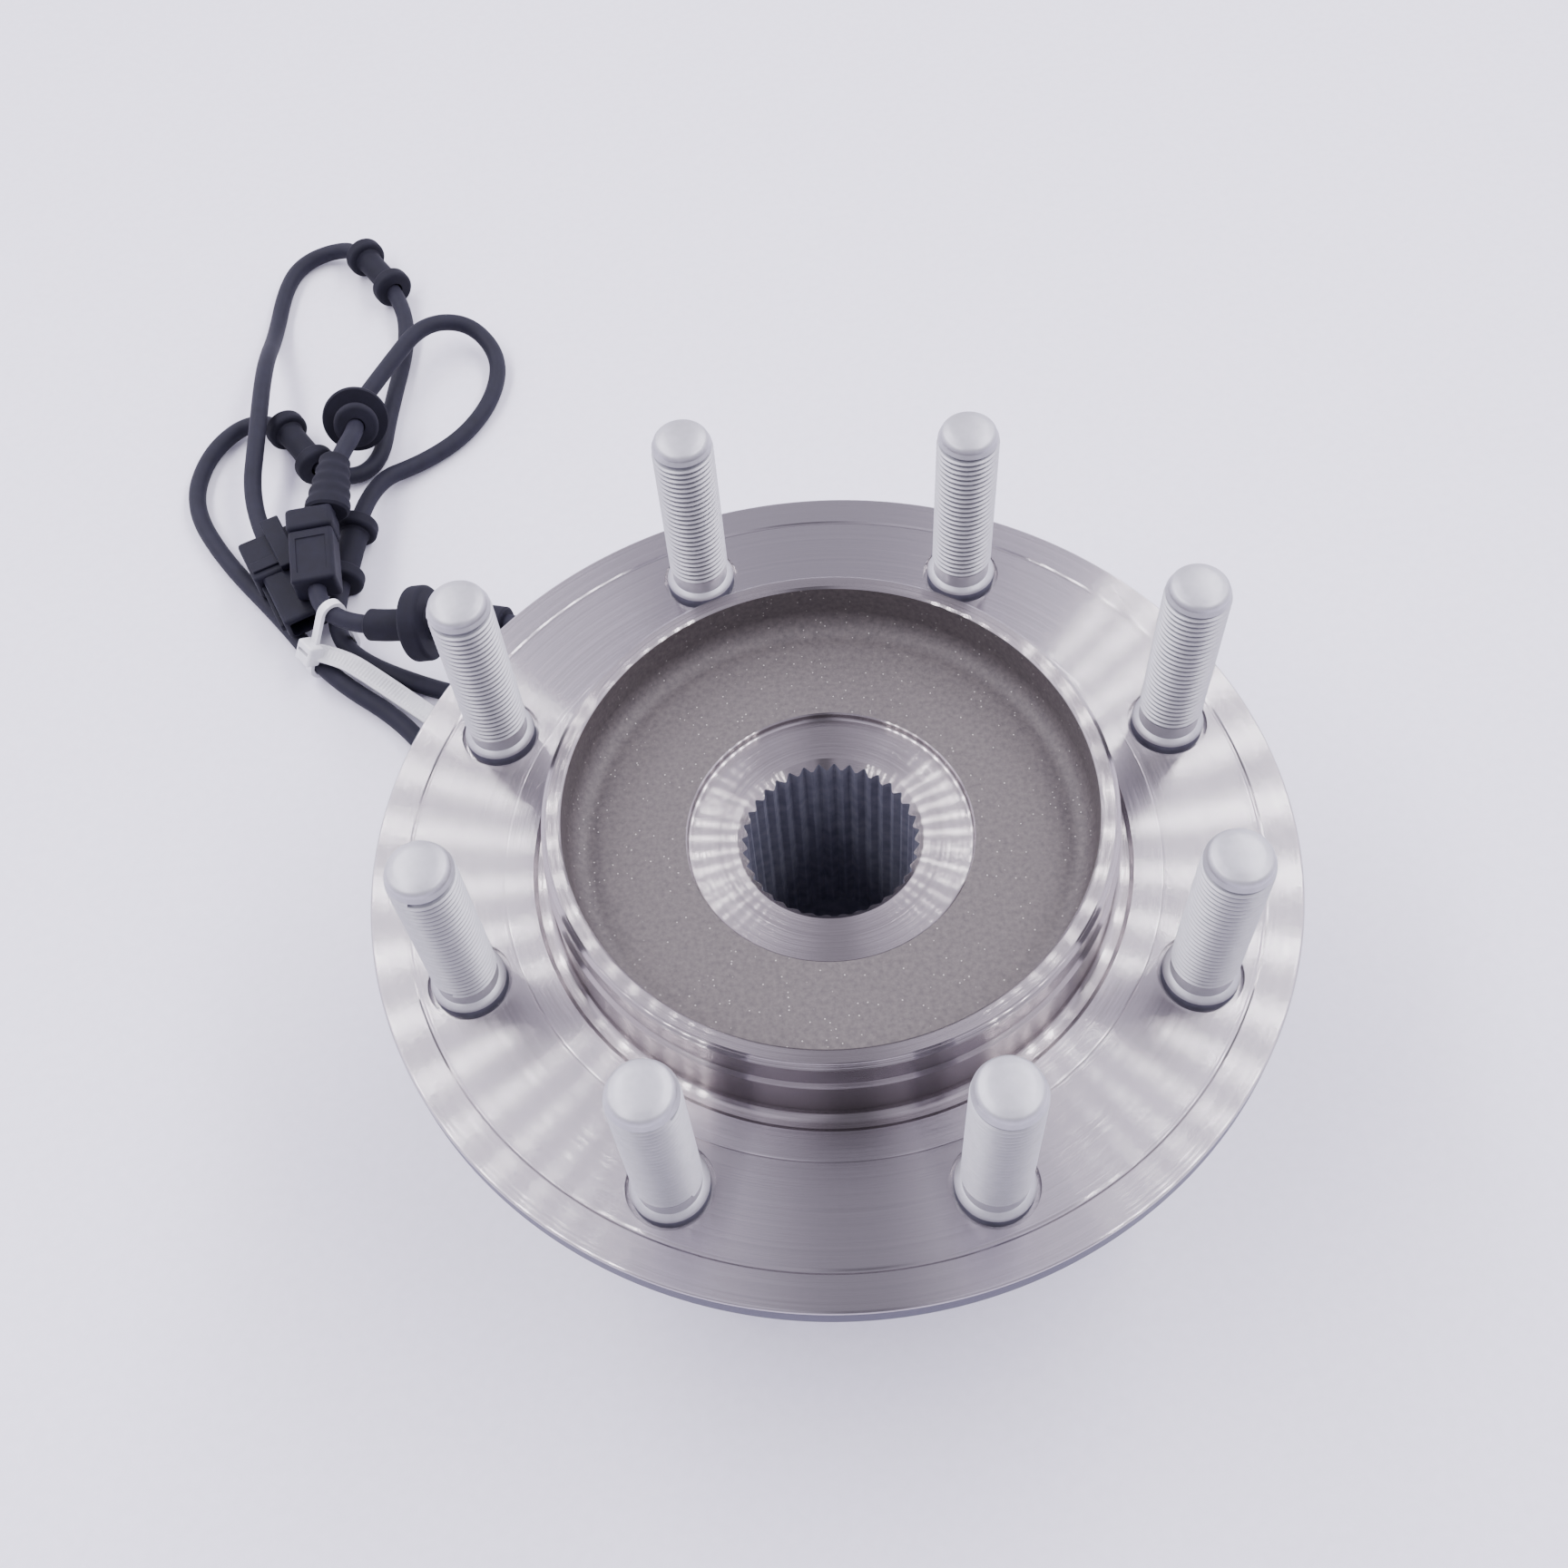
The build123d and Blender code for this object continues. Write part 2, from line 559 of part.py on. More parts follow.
with BuildPart() as bearing_housing:
    with BuildSketch(Plane.XY):
        Circle(KNUCKLE_PILOT_D / 2)
    extrude(amount=KNUCKLE_FACE_Z)
    with BuildSketch(Plane.XY.offset(KNUCKLE_FACE_Z)) as ears:
        Circle(KNUCKLE_BODY_R)
        with PolarLocations(KNUCKLE_CIRCLE_D / 2, KNUCKLE_BOLTS, start_angle=KNUCKLE_START_ANGLE):
            Circle(KNUCKLE_EAR_R)
        with PolarLocations(KNUCKLE_CIRCLE_D / 4, KNUCKLE_BOLTS, start_angle=KNUCKLE_START_ANGLE):
            Rectangle(KNUCKLE_CIRCLE_D / 2, 2 * KNUCKLE_EAR_R)
        ear_roots = ears.vertices().filter_by(
            lambda corner: abs(Vector(corner.X, corner.Y).length - KNUCKLE_BODY_R) < 0.01)
        fillet(ear_roots, radius=EAR_BLEND_SHARE * (KNUCKLE_CIRCLE_D / 2 - KNUCKLE_BODY_R))
    extrude(amount=KNUCKLE_FLANGE_T)
    with BuildSketch(Plane.XY.offset(KNUCKLE_TOP_Z)):
        Circle(HOUSING_R)
    extrude(amount=HOUSING_TOP_Z - KNUCKLE_TOP_Z)
    barrel_foot = bearing_housing.edges().filter_by(GeomType.CIRCLE).filter_by(
        lambda edge: abs(edge.radius - HOUSING_R) < 0.01 and abs(edge.center().Z - KNUCKLE_TOP_Z) < 0.01)
    fillet(barrel_foot, radius=HOUSING_FILLET)
    outer_rims = bearing_housing.edges().filter_by(GeomType.CIRCLE).filter_by(
        lambda edge: abs(edge.center().Z) < 0.01 or abs(edge.center().Z - HOUSING_TOP_Z) < 0.01)
    chamfer(outer_rims, length=HOUSING_CHAMFER)
    with BuildSketch(sensor_plane(SENSOR_SEAT_R)):
        with Locations((0, 0), bolt_hole):
            Circle(SENSOR_EAR_R + BOSS_MARGIN)
        make_hull()
    extrude(amount=-BOSS_DEPTH)
    turn(cavity, mode=Mode.SUBTRACT)
    with BuildSketch(Plane.XY.offset(KNUCKLE_FACE_Z)):
        with PolarLocations(KNUCKLE_CIRCLE_D / 2, KNUCKLE_BOLTS, start_angle=KNUCKLE_START_ANGLE):
            Circle(KNUCKLE_HOLE_D / 2)
    extrude(amount=KNUCKLE_FLANGE_T, mode=Mode.SUBTRACT)
    with BuildSketch(sensor_plane(SENSOR_SEAT_R)):
        Circle(SENSOR_HOLE_D / 2)
    extrude(amount=-(SENSOR_SEAT_R - OUTER_SMALL[0] + 5), mode=Mode.SUBTRACT)
    with BuildSketch(sensor_plane(SENSOR_SEAT_R)):
        with Locations(bolt_hole):
            Circle(SENSOR_BOLT_D / 2)
    extrude(amount=-SENSOR_BOLT_GRIP, mode=Mode.SUBTRACT)
bearing_housing.part.label = "bearing_housing"
export_step(bearing_housing.part, "parts/bearing_housing.step")

# ---- wheel speed sensor: nose through the housing wall, ear plate, head and cable exit ----
nose_depth = SENSOR_SEAT_R - TONE_R - SENSOR_AIR_GAP
groove_r = SENSOR_HOLE_D / 2 - ORING_SECTION_D
groove_half = ORING_SECTION_D / 2 + 0.2
head_base = SENSOR_PLATE_T
head_top = SENSOR_PLATE_T + SENSOR_HEAD_L
sensor_exit = SENSOR_EXIT_R - SENSOR_SEAT_R
sensor_outline = [
    (0, -nose_depth),
    (SENSOR_NOSE_D / 2 - 0.6, -nose_depth),
    (SENSOR_NOSE_D / 2, -nose_depth + 0.6),
    (SENSOR_NOSE_D / 2, -ORING_SEAT_DEPTH - groove_half),
    (groove_r, -ORING_SEAT_DEPTH - groove_half),
    (groove_r, -ORING_SEAT_DEPTH + groove_half),
    (SENSOR_NOSE_D / 2, -ORING_SEAT_DEPTH + groove_half),
    (SENSOR_NOSE_D / 2, 0),
    (SENSOR_HEAD_R, 0),
    (SENSOR_HEAD_R, head_top - 1.5),
    (SENSOR_HEAD_R - 1.5, head_top),
    (LEAD_R + 3.2, head_top),
    (LEAD_R + 1.2, sensor_exit),
    (0, sensor_exit),
]
seat = sensor_plane(SENSOR_SEAT_R)
with BuildPart() as wheel_speed_sensor:
    turn(sensor_outline, seat)
    with BuildSketch(seat):
        Circle(SENSOR_HEAD_R)
        with Locations(bolt_hole):
            Circle(SENSOR_EAR_R)
        make_hull()
        with Locations(bolt_hole):
            Circle(BUSH_D / 2, mode=Mode.SUBTRACT)
    extrude(amount=SENSOR_PLATE_T)
wheel_speed_sensor.part.label = "wheel_speed_sensor"
export_step(wheel_speed_sensor.part, "parts/wheel_speed_sensor.step")

with BuildPart() as sensor_bushing:
    with BuildSketch(seat):
        with Locations(bolt_hole):
            Circle(BUSH_D / 2)
            Circle(SENSOR_BOLT_D / 2 + SENSOR_BOLT_CLEARANCE, mode=Mode.SUBTRACT)
    extrude(amount=SENSOR_PLATE_T)
sensor_bushing.part.label = "sensor_bushing"
export_step(sensor_bushing.part, "parts/sensor_bushing.step")

with BuildPart() as sensor_bolt:
    with BuildSketch(seat.offset(-SENSOR_BOLT_GRIP)):
        with Locations(bolt_hole):
            Circle(SENSOR_BOLT_D / 2)
    extrude(amount=SENSOR_BOLT_GRIP + SENSOR_PLATE_T)
    with BuildSketch(seat.offset(SENSOR_PLATE_T)):
        with Locations(bolt_hole):
            Circle(SENSOR_BOLT_FLANGE_D / 2)
    extrude(amount=1.2)
    with BuildSketch(seat.offset(SENSOR_PLATE_T + 1.2)):
        with Locations(bolt_hole):
            RegularPolygon(SENSOR_BOLT_HEAD_AF / 2, 6, major_radius=False)
    extrude(amount=SENSOR_BOLT_HEAD_H)
sensor_bolt.part.label = "sensor_bolt"
export_step(sensor_bolt.part, "parts/sensor_bolt.step")

with BuildPart() as sensor_o_ring:
    with Locations(seat.offset(-ORING_SEAT_DEPTH)):
        Torus(SENSOR_HOLE_D / 2 - ORING_SECTION_D / 2, ORING_SECTION_D / 2)
sensor_o_ring.part.label = "sensor_o_ring"
export_step(sensor_o_ring.part, "parts/sensor_o_ring.step")

# ---- sensor lead: one cord from the sensor to its connector, stretch by stretch ----
PLUG_HEADING = -66.0
PLUG_MOUTH = Vector(-162.6, 171.9, 11.0)
plug_way = Vector(cos(radians(PLUG_HEADING)), sin(radians(PLUG_HEADING)), 0)
lead_exit = sensor_out * SENSOR_EXIT_R + Vector(0, 0, BEARING_Z)
lead_bend = sensor_out * (SENSOR_EXIT_R + LEAD_STRAIGHT) + Vector(0, 0, BEARING_Z)
sleeve_run = [lead_exit, lead_bend, (-143.5, 126.8, 18.6)]
splice_run = [(-141.5, 166.4, 22), (-139.6, 193, 22.3)]
dome_run = [(-133.5, 206.5, 22.5), (-138.5, 224.5, 12.5)]
near_loop = [(-128, 244, 13), (-117, 261.5, 14.5), (-102.5, 267, 8.5), (-92.5, 254, 4), (-94, 236, 3),
             (-103, 219, 3), (-117, 208, 3), (-133, 197, 7.2)]
under_tie = [(-139.5, 158, 7.0), (-141.5, 141, 4.5), (-134, 128, 4.5)]
under_flange = [(-114, 117, 3), (-92, 108, 3), (-72, 97, 3), (-62, 80, 3), (-66, 60, 3), (-83, 52, 3),
                (-99, 62, 3), (-104.5, 82, 3), (-118, 104, 3)]
left_loop = [(-141, 121.5, 5.2), (-158, 147, 3), (-179, 173.5, 3), (-192, 198, 3), (-189.5, 220, 3),
             (-177.5, 233, 4), (-163.5, 226.5, 7.2), (-150, 205.5, 7.0)]
tight_turn = [(-139, 202.5, 4), (-131, 211, 3), (-129.5, 231, 3), (-124.2, 268, 3), (-128, 286, 6.9)]
top_loop = [(-143.5, 311.5, 6.9), (-154, 316, 4), (-165, 311.5, 3), (-170, 299, 3), (-171.5, 274, 3),
            (-168.5, 245, 17), (-168, 215, 17), PLUG_MOUTH - plug_way * PLUG_RUN_L]
lead_points = [
    Vector(*point)
    for stretch in (sleeve_run, splice_run, dome_run, near_loop, under_tie, under_flange, left_loop,
                    tight_turn, top_loop, [PLUG_MOUTH])
    for point in stretch
]


def bend_radius(before, corner, after):
    """Largest even bend at a corner that leaves part of both runs straight."""
    arriving = corner - before
    leaving = after - corner
    half_turn = radians(arriving.get_angle(leaving)) / 2
    return ARC_SHARE * min(arriving.length, leaving.length) / tan(half_turn)


lead_radii = [bend_radius(*lead_points[i - 1:i + 2]) for i in range(1, len(lead_points) - 1)]
with BuildPart() as speed_sensor_lead:
    with BuildLine() as lead_path:
        FilletPolyline(*lead_points, radius=lead_radii)
    with BuildSketch(Plane(origin=lead_points[0], z_dir=lead_points[1] - lead_points[0])):
        Circle(LEAD_R)
    sweep()
speed_sensor_lead.part.label = "speed_sensor_lead"
export_step(speed_sensor_lead.part, "parts/speed_sensor_lead.step")
lead_length = sum(edge.length for edge in lead_path.edges())
print("lead length", round(lead_length, 1), "of tube volume share",
      round(speed_sensor_lead.part.volume / (pi * LEAD_R**2 * lead_length), 4))
print("lead bend radii", [round(radius, 1) for radius in lead_radii])


def lead_plane(run_start, share):
    """Plane square to the lead, at a share of the run that starts at a named point."""
    start = Vector(*run_start)
    index = min(range(len(lead_points)), key=lambda i: (lead_points[i] - start).length)
    run = lead_points[index + 1] - lead_points[index]
    return Plane(origin=lead_points[index] + run * share, x_dir=run.cross(Vector(0, 0, 1)), z_dir=run)


# ---- grommets: turned rubber shapes threaded on the lead ----
def rounded_disc(radius, start, thick, edge):
    """Half outline of a disc's rim with a broken edge, from its start height."""
    return [
        (radius - edge, start),
        (radius, start + edge),
        (radius, start + thick - edge),
        (radius - edge, start + thick),
    ]


clip_half = CLIP_PITCH / 2
clip_outline = [
    (LEAD_R, -clip_half - CLIP_DISC_T / 2),
    *rounded_disc(CLIP_DISC_D / 2, -clip_half - CLIP_DISC_T / 2, CLIP_DISC_T, 1.2),
    (CLIP_NECK_D / 2, -clip_half + CLIP_DISC_T / 2),
    (CLIP_NECK_D / 2, clip_half - CLIP_DISC_T / 2),
    *rounded_disc(CLIP_DISC_D / 2, clip_half - CLIP_DISC_T / 2, CLIP_DISC_T, 1.2),
    (LEAD_R, clip_half + CLIP_DISC_T / 2),
]
clip_places = {
    "lower": lead_plane(near_loop[-1], 0.72),
    "left": lead_plane(left_loop[-2], 0.5),
    "upper": lead_plane(tight_turn[-1], 0.5),
}
for place_name, place in clip_places.items():
    with BuildPart() as clip_grommet:
        turn(clip_outline, place)
    clip_grommet.part.label = f"clip_grommet_{place_name}"
    export_step(clip_grommet.part, f"parts/clip_grommet_{place_name}.step")

sleeve_end = SLEEVE_L / 2
disc_start = SLEEVE_DISC_SHIFT - SLEEVE_DISC_T / 2
sleeve_outline = [
    (LEAD_R, -sleeve_end),
    (SLEEVE_D / 2, -sleeve_end),
    (SLEEVE_D / 2, disc_start),
    *rounded_disc(SLEEVE_DISC_D / 2, disc_start, SLEEVE_DISC_T, 1.6),
    (SLEEVE_D / 2, disc_start + SLEEVE_DISC_T),
    (SLEEVE_D / 2, sleeve_end),
    (LEAD_R, sleeve_end),
]
with BuildPart() as sleeve_grommet:
    turn(sleeve_outline, lead_plane(lead_bend, 0.5))
sleeve_grommet.part.label = "sleeve_grommet"
export_step(sleeve_grommet.part, "parts/sleeve_grommet.step")

dome_start = DOME_NECK_L / 2
dome_outline = [
    (LEAD_R, -dome_start - DOME_SMALL_T),
    *rounded_disc(DOME_SMALL_D / 2, -dome_start - DOME_SMALL_T, DOME_SMALL_T, 1.2),
    (DOME_NECK_D / 2, -dome_start),
    (DOME_NECK_D / 2, dome_start),
    (DOME_D / 2, dome_start),
    (DOME_D / 2, dome_start + DOME_LIP_T),
    (DOME_D / 2 * 0.94, dome_start + DOME_H * 0.52),
    (DOME_D / 2 * 0.78, dome_start + DOME_H * 0.82),
    (DOME_D / 2 * 0.5, dome_start + DOME_H),
    (LEAD_R, dome_start + DOME_H),
]
with BuildPart() as dome_grommet:
    turn(dome_outline, lead_plane(dome_run[0], 0.42))
dome_grommet.part.label = "dome_grommet"
export_step(dome_grommet.part, "parts/dome_grommet.step")

# ---- moulded splice: block, collar and tapered boot along the lead ----
splice_plane = lead_plane(sleeve_run[-1], 0.425)
with BuildPart() as splice_block:
    with BuildSketch(splice_plane):
        RectangleRounded(SPLICE_W, SPLICE_H, 1.5)
        Circle(LEAD_R, mode=Mode.SUBTRACT)
    extrude(amount=SPLICE_L)
    with BuildSketch(splice_plane.offset(SPLICE_L)):
        RectangleRounded(SPLICE_COLLAR_W, SPLICE_COLLAR_H, 1.8)
        Circle(LEAD_R, mode=Mode.SUBTRACT)
    extrude(amount=SPLICE_COLLAR_L)
splice_block.part.label = "splice_block"
export_step(splice_block.part, "parts/splice_block.step")

boot_plane = lead_plane(splice_run[0], 0.23)
with BuildPart() as splice_boot:
    with BuildSketch(boot_plane):
        Ellipse(BOOT_BASE_W / 2, BOOT_BASE_H / 2)
    with BuildSketch(boot_plane.offset(BOOT_L)):
        Circle(BOOT_TIP_D / 2)
    loft()
    with BuildSketch(boot_plane):
        Circle(LEAD_R)
    extrude(amount=BOOT_L, mode=Mode.SUBTRACT)
splice_boot.part.label = "splice_boot"
export_step(splice_boot.part, "parts/splice_boot.step")

# ---- connector: head, keyed nose with an open mouth, two pins ----
plug_plane = Plane(origin=PLUG_MOUTH, x_dir=plug_way.cross(Vector(0, 0, 1)), z_dir=plug_way)
nose_end = PLUG_HEAD_L + PLUG_NOSE_L
with BuildPart() as connector_housing:
    with BuildSketch(plug_plane):
        RectangleRounded(PLUG_HEAD_W, PLUG_HEAD_H, 1.6)
    extrude(amount=PLUG_HEAD_L)
    with BuildSketch(plug_plane.offset(PLUG_HEAD_L)):
        RectangleRounded(PLUG_NOSE_W, PLUG_NOSE_H, 1.8)
    extrude(amount=PLUG_NOSE_L)
    with BuildSketch(plug_plane.offset(nose_end)):
        RectangleRounded(PLUG_NOSE_W - 2 * PLUG_WALL, PLUG_NOSE_H - 2 * PLUG_WALL, 1.0)
    extrude(amount=-PLUG_POCKET_L, mode=Mode.SUBTRACT)
    with BuildSketch(plug_plane.offset(-LATCH_BACK)):
        with Locations((-LATCH_OFFSET, -(PLUG_HEAD_H + LATCH_T) / 2 + 0.2)):
            Rectangle(LATCH_W, LATCH_T + 0.4)
    extrude(amount=LATCH_L)
    with BuildSketch(plug_plane.offset(PLUG_HEAD_L)):
        with Locations(((PLUG_NOSE_W + RAIL_T) / 2, 0)):
            Rectangle(RAIL_T, RAIL_W)
    extrude(amount=PLUG_NOSE_L - 2)
connector_housing.part.label = "connector_housing"
export_step(connector_housing.part, "parts/connector_housing.step")

with BuildPart() as connector_pins:
    with BuildSketch(plug_plane.offset(nose_end - PLUG_POCKET_L)):
        with GridLocations(PIN_PITCH, 1, 2, 1):
            Circle(PIN_D / 2)
    extrude(amount=PIN_L)
connector_pins.part.label = "connector_pins"
export_step(connector_pins.part, "parts/connector_pins.step")

# ---- cable tie: loop round three strands, ratchet head and a flat tail ----
TIE_MIDDLE = Vector(-138.6, 132.7, 0)
TIE_TURN = 40.0
tie_across = Vector(cos(radians(TIE_TURN)), sin(radians(TIE_TURN)), 0)
tie_plane = Plane(origin=TIE_MIDDLE, x_dir=tie_across, z_dir=tie_across.cross(Vector(0, 0, 1)))
tie_head_middle = (-9.6, 12.0)
tail_points = [(-144.5, 127.5, 10.5), (-137, 125.5, 9.6), (-127, 118.5, 7.0), (-109.2, 104.5, 2.2)]


def strands_through(plane, reach):
    """Local centres of every strand of the lead that crosses a plane within reach of its origin."""
    steps = [lead_path.wire().position_at(i / 1500) for i in range(1501)]
    local = [plane.to_local_coords(step) for step in steps]
    crossings = [
        (local[i] + local[i + 1]) / 2
        for i in range(1500)
        if local[i].Z * local[i + 1].Z <= 0
    ]
    return [(centre.X, centre.Y) for centre in crossings if abs(centre.X) < reach]


tie_strands = strands_through(tie_plane, TIE_REACH)
print("strands in the tie", [(round(x, 1), round(y, 1)) for x, y in tie_strands])
with BuildPart() as cable_tie:
    with BuildSketch(tie_plane):
        with Locations(*tie_strands):
            Circle(LEAD_R + TIE_GAP + TIE_T)
        make_hull()
        offset(amount=-TIE_T, mode=Mode.SUBTRACT)
    extrude(amount=TIE_LOOP_W / 2, both=True)
    with BuildSketch(tie_plane):
        with Locations(Location((*tie_head_middle, 0), (0, 0, 56.7))):
            Rectangle(TIE_HEAD_W, TIE_HEAD_H)
    extrude(amount=TIE_HEAD_W / 2, both=True)
    with BuildLine():
        Spline(*tail_points)
    with BuildSketch(Plane(origin=tail_points[0], x_dir=(0.3, 1, 0), z_dir=(1, -0.3, -0.12))):
        Rectangle(TIE_TAIL_W, TIE_T)
    sweep()
cable_tie.part.label = "cable_tie"
export_step(cable_tie.part, "parts/cable_tie.step")
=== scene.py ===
"""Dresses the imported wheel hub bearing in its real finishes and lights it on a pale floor."""
import logging
import math
from dataclasses import dataclass, field
from enum import Enum, IntEnum
from typing import Any, Callable, Iterable, Sequence

import bpy
from mathutils import Matrix, Vector


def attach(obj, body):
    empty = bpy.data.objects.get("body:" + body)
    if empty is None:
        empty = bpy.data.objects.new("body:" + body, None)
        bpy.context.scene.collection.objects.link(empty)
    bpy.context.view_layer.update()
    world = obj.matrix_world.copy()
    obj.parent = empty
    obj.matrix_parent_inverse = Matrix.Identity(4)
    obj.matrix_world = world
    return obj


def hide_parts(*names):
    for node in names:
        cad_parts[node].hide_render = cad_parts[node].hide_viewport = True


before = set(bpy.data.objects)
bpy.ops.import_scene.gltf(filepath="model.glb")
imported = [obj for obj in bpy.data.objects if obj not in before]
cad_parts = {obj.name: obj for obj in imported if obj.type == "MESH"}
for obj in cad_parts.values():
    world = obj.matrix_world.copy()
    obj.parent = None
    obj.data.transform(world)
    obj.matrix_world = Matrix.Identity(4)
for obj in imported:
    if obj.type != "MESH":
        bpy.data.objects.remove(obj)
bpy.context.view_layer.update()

MM = 0.001
FULL_TURN = 2 * math.pi
UP = Vector((0.0, 0.0, 1.0))
# Points closer than this are one, faces flatter than FLAT_DEG are one face, and edges
# sharper than EDGE_DEG are broken.
MERGE_MM = 0.002
FLAT_DEG = 0.5
EDGE_DEG = 40.0
LOG = logging.getLogger("wheel_hub_bearing")

Pair = tuple[float, float]
Point = tuple[float, float, float]
# (radius, height) points in millimetres.
Outline = list[Pair]
# Number of a straight run of the lead's route, and share of that run.
Spot = tuple[int, float]
Key = int | str


class Body(Enum):
    """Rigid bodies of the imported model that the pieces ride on."""

    HOUSING = "housing"
    HUB = "hub"


class Slot(Enum):
    """Material slots of the record, passed along with the pieces."""

    FORGED = "forged_steel"
    ZINC_FLAKE = "zinc_flake_steel"
    BEARING = "bearing_steel"
    PRESSED = "pressed_steel"
    NYLON = "black_nylon"
    RUBBER = "black_rubber"
    TINNED = "tinned_brass"
    WHITE_NYLON = "white_nylon"


# ---------------------------------------------------------------------------
# Finishes
# ---------------------------------------------------------------------------


def linear(code: str) -> tuple[float, float, float, float]:
    """Turn an sRGB hex colour into linear RGBA.

    Args:
        code: Six hex digits, such as "8c8a8f".

    Returns:
        The linear red, green, blue and an alpha of 1.
    """
    channels = []
    for start in (0, 2, 4):
        value = int(code[start : start + 2], 16) / 255
        channels.append(value / 12.92 if value <= 0.04045 else ((value + 0.055) / 1.055) ** 2.4)
    return (*channels, 1.0)


def add_node(
    tree: bpy.types.NodeTree,
    kind: str,
    settings: dict[Key, Any] | None = None,
    links: dict[Key, bpy.types.NodeSocket] | None = None,
) -> bpy.types.Node:
    """Add one shader node with its settings and links.

    Args:
        tree: Node tree to add to.
        kind: Blender's node type name.
        settings: Input names or numbers, or attributes, with their values.
        links: Input names or numbers with the output sockets that feed them.

    Returns:
        The new node.
    """
    made = tree.nodes.new(kind)
    for key, value in (settings or {}).items():
        if isinstance(key, int) or key in made.inputs:
            made.inputs[key].default_value = value
        else:
            setattr(made, key, value)
    for key, source in (links or {}).items():
        tree.links.new(source, made.inputs[key])
    return made


@dataclass(frozen=True)
class Finish:
    """A surface finish whose two colours mix in soft patches.

    Attributes:
        name: What the material is called.
        colour: Its light colour, in sRGB hex.
        dark: Its dark colour, in sRGB hex.
        metallic: 1 for bare metal, 0 for a polymer.
        roughness: Roughness of the surface.
        ior: Index of refraction, or None for a metal.
        shine: Share of the mirror reflection, for a finish with an ior.
        patch_mm: Size of the patches.
        patch_range: Noise values that give the dark and the light colour.
    """

    name: str = "finish"
    colour: str = "808080"
    dark: str = "606060"
    metallic: float = 0.0
    roughness: float = 0.5
    ior: float | None = None
    shine: float = 0.5
    patch_mm: float = 3.0
    patch_range: Pair = (0.35, 0.65)

    def material(self) -> bpy.types.Material:
        """Make the Blender material, or find the one already made.

        Returns:
            The material.
        """
        known = bpy.data.materials.get(self.name)
        if known:
            return known
        made = bpy.data.materials.new(self.name)
        made.use_nodes = True
        tree = made.node_tree
        tree.nodes.clear()
        shader = add_node(
            tree,
            "ShaderNodeBsdfPrincipled",
            {"Metallic": self.metallic, "Roughness": self.roughness},
        )
        if self.ior is not None:
            shader.inputs["IOR"].default_value = self.ior
            shader.inputs["Specular IOR Level"].default_value = self.shine
        add_node(tree, "ShaderNodeOutputMaterial", links={"Surface": shader.outputs["BSDF"]})
        self.draw(tree, shader)
        return made

    def draw(self, tree: bpy.types.NodeTree, shader: bpy.types.Node) -> None:
        """Draw the finish's pattern: the patches, and what a subclass adds.

        Args:
            tree: The material's node tree.
            shader: Its Principled shader.
        """
        spot = add_node(tree, "ShaderNodeTexCoord").outputs["Object"]
        noise = add_node(
            tree,
            "ShaderNodeTexNoise",
            {"Scale": 1 / (self.patch_mm * MM), "Detail": 6.0, "Roughness": 0.6},
            {"Vector": spot},
        )
        low, high = self.patch_range
        spread = add_node(
            tree,
            "ShaderNodeMapRange",
            {"From Min": low, "From Max": high, "clamp": True},
            {"Value": noise.outputs["Fac"]},
        )
        self.colour_by(tree, shader, spread.outputs["Result"])

    def colour_by(
        self, tree: bpy.types.NodeTree, shader: bpy.types.Node, share: bpy.types.NodeSocket
    ) -> None:
        """Mix the dark and the light colour by a share and feed the shader with it.

        Args:
            tree: The material's node tree.
            shader: Its Principled shader.
            share: Socket that gives 0 for dark and 1 for light.
        """
        mix = add_node(
            tree,
            "ShaderNodeMix",
            {"data_type": "RGBA", 6: linear(self.dark), 7: linear(self.colour)},
            {0: share},
        )
        tree.links.new(mix.outputs[2], shader.inputs["Base Color"])


@dataclass(frozen=True)
class GrainedFinish(Finish):
    """A finish with a fine random grain over its patches.

    Attributes:
        grain_mm: Width of the grain, drawn coarser than the real one so that it shows.
        grain_height_mm: Height of the grain.
        grain_strength: Share of that height that is used.
    """

    grain_mm: float = 0.5
    grain_height_mm: float = 0.03
    grain_strength: float = 0.25

    def draw(self, tree: bpy.types.NodeTree, shader: bpy.types.Node) -> None:
        """Draw the patches, then the grain as a bump.

        Args:
            tree: The material's node tree.
            shader: Its Principled shader.
        """
        super().draw(tree, shader)
        noise = add_node(
            tree,
            "ShaderNodeTexNoise",
            {"Scale": 1 / (self.grain_mm * MM), "Detail": 4.0},
            {"Vector": add_node(tree, "ShaderNodeTexCoord").outputs["Object"]},
        )
        bump = add_node(
            tree,
            "ShaderNodeBump",
            {"Strength": self.grain_strength, "Distance": self.grain_height_mm * MM},
            {"Height": noise.outputs["Fac"]},
        )
        tree.links.new(bump.outputs["Normal"], shader.inputs["Normal"])


@dataclass(frozen=True)
class CoatedSteel(GrainedFinish):
    """Zinc flake coating: matt silver-grey with a faint grain."""

    patch_mm: float = 2.2
    patch_range: Pair = (0.1, 0.9)
    grain_mm: float = 0.3
    grain_height_mm: float = 0.012
    grain_strength: float = 0.3


@dataclass(frozen=True)
class Polymer(GrainedFinish):
    """Moulded or extruded polymer with a faint grain from its mould or die."""

    patch_mm: float = 4.0
    patch_range: Pair = (0.3, 0.7)


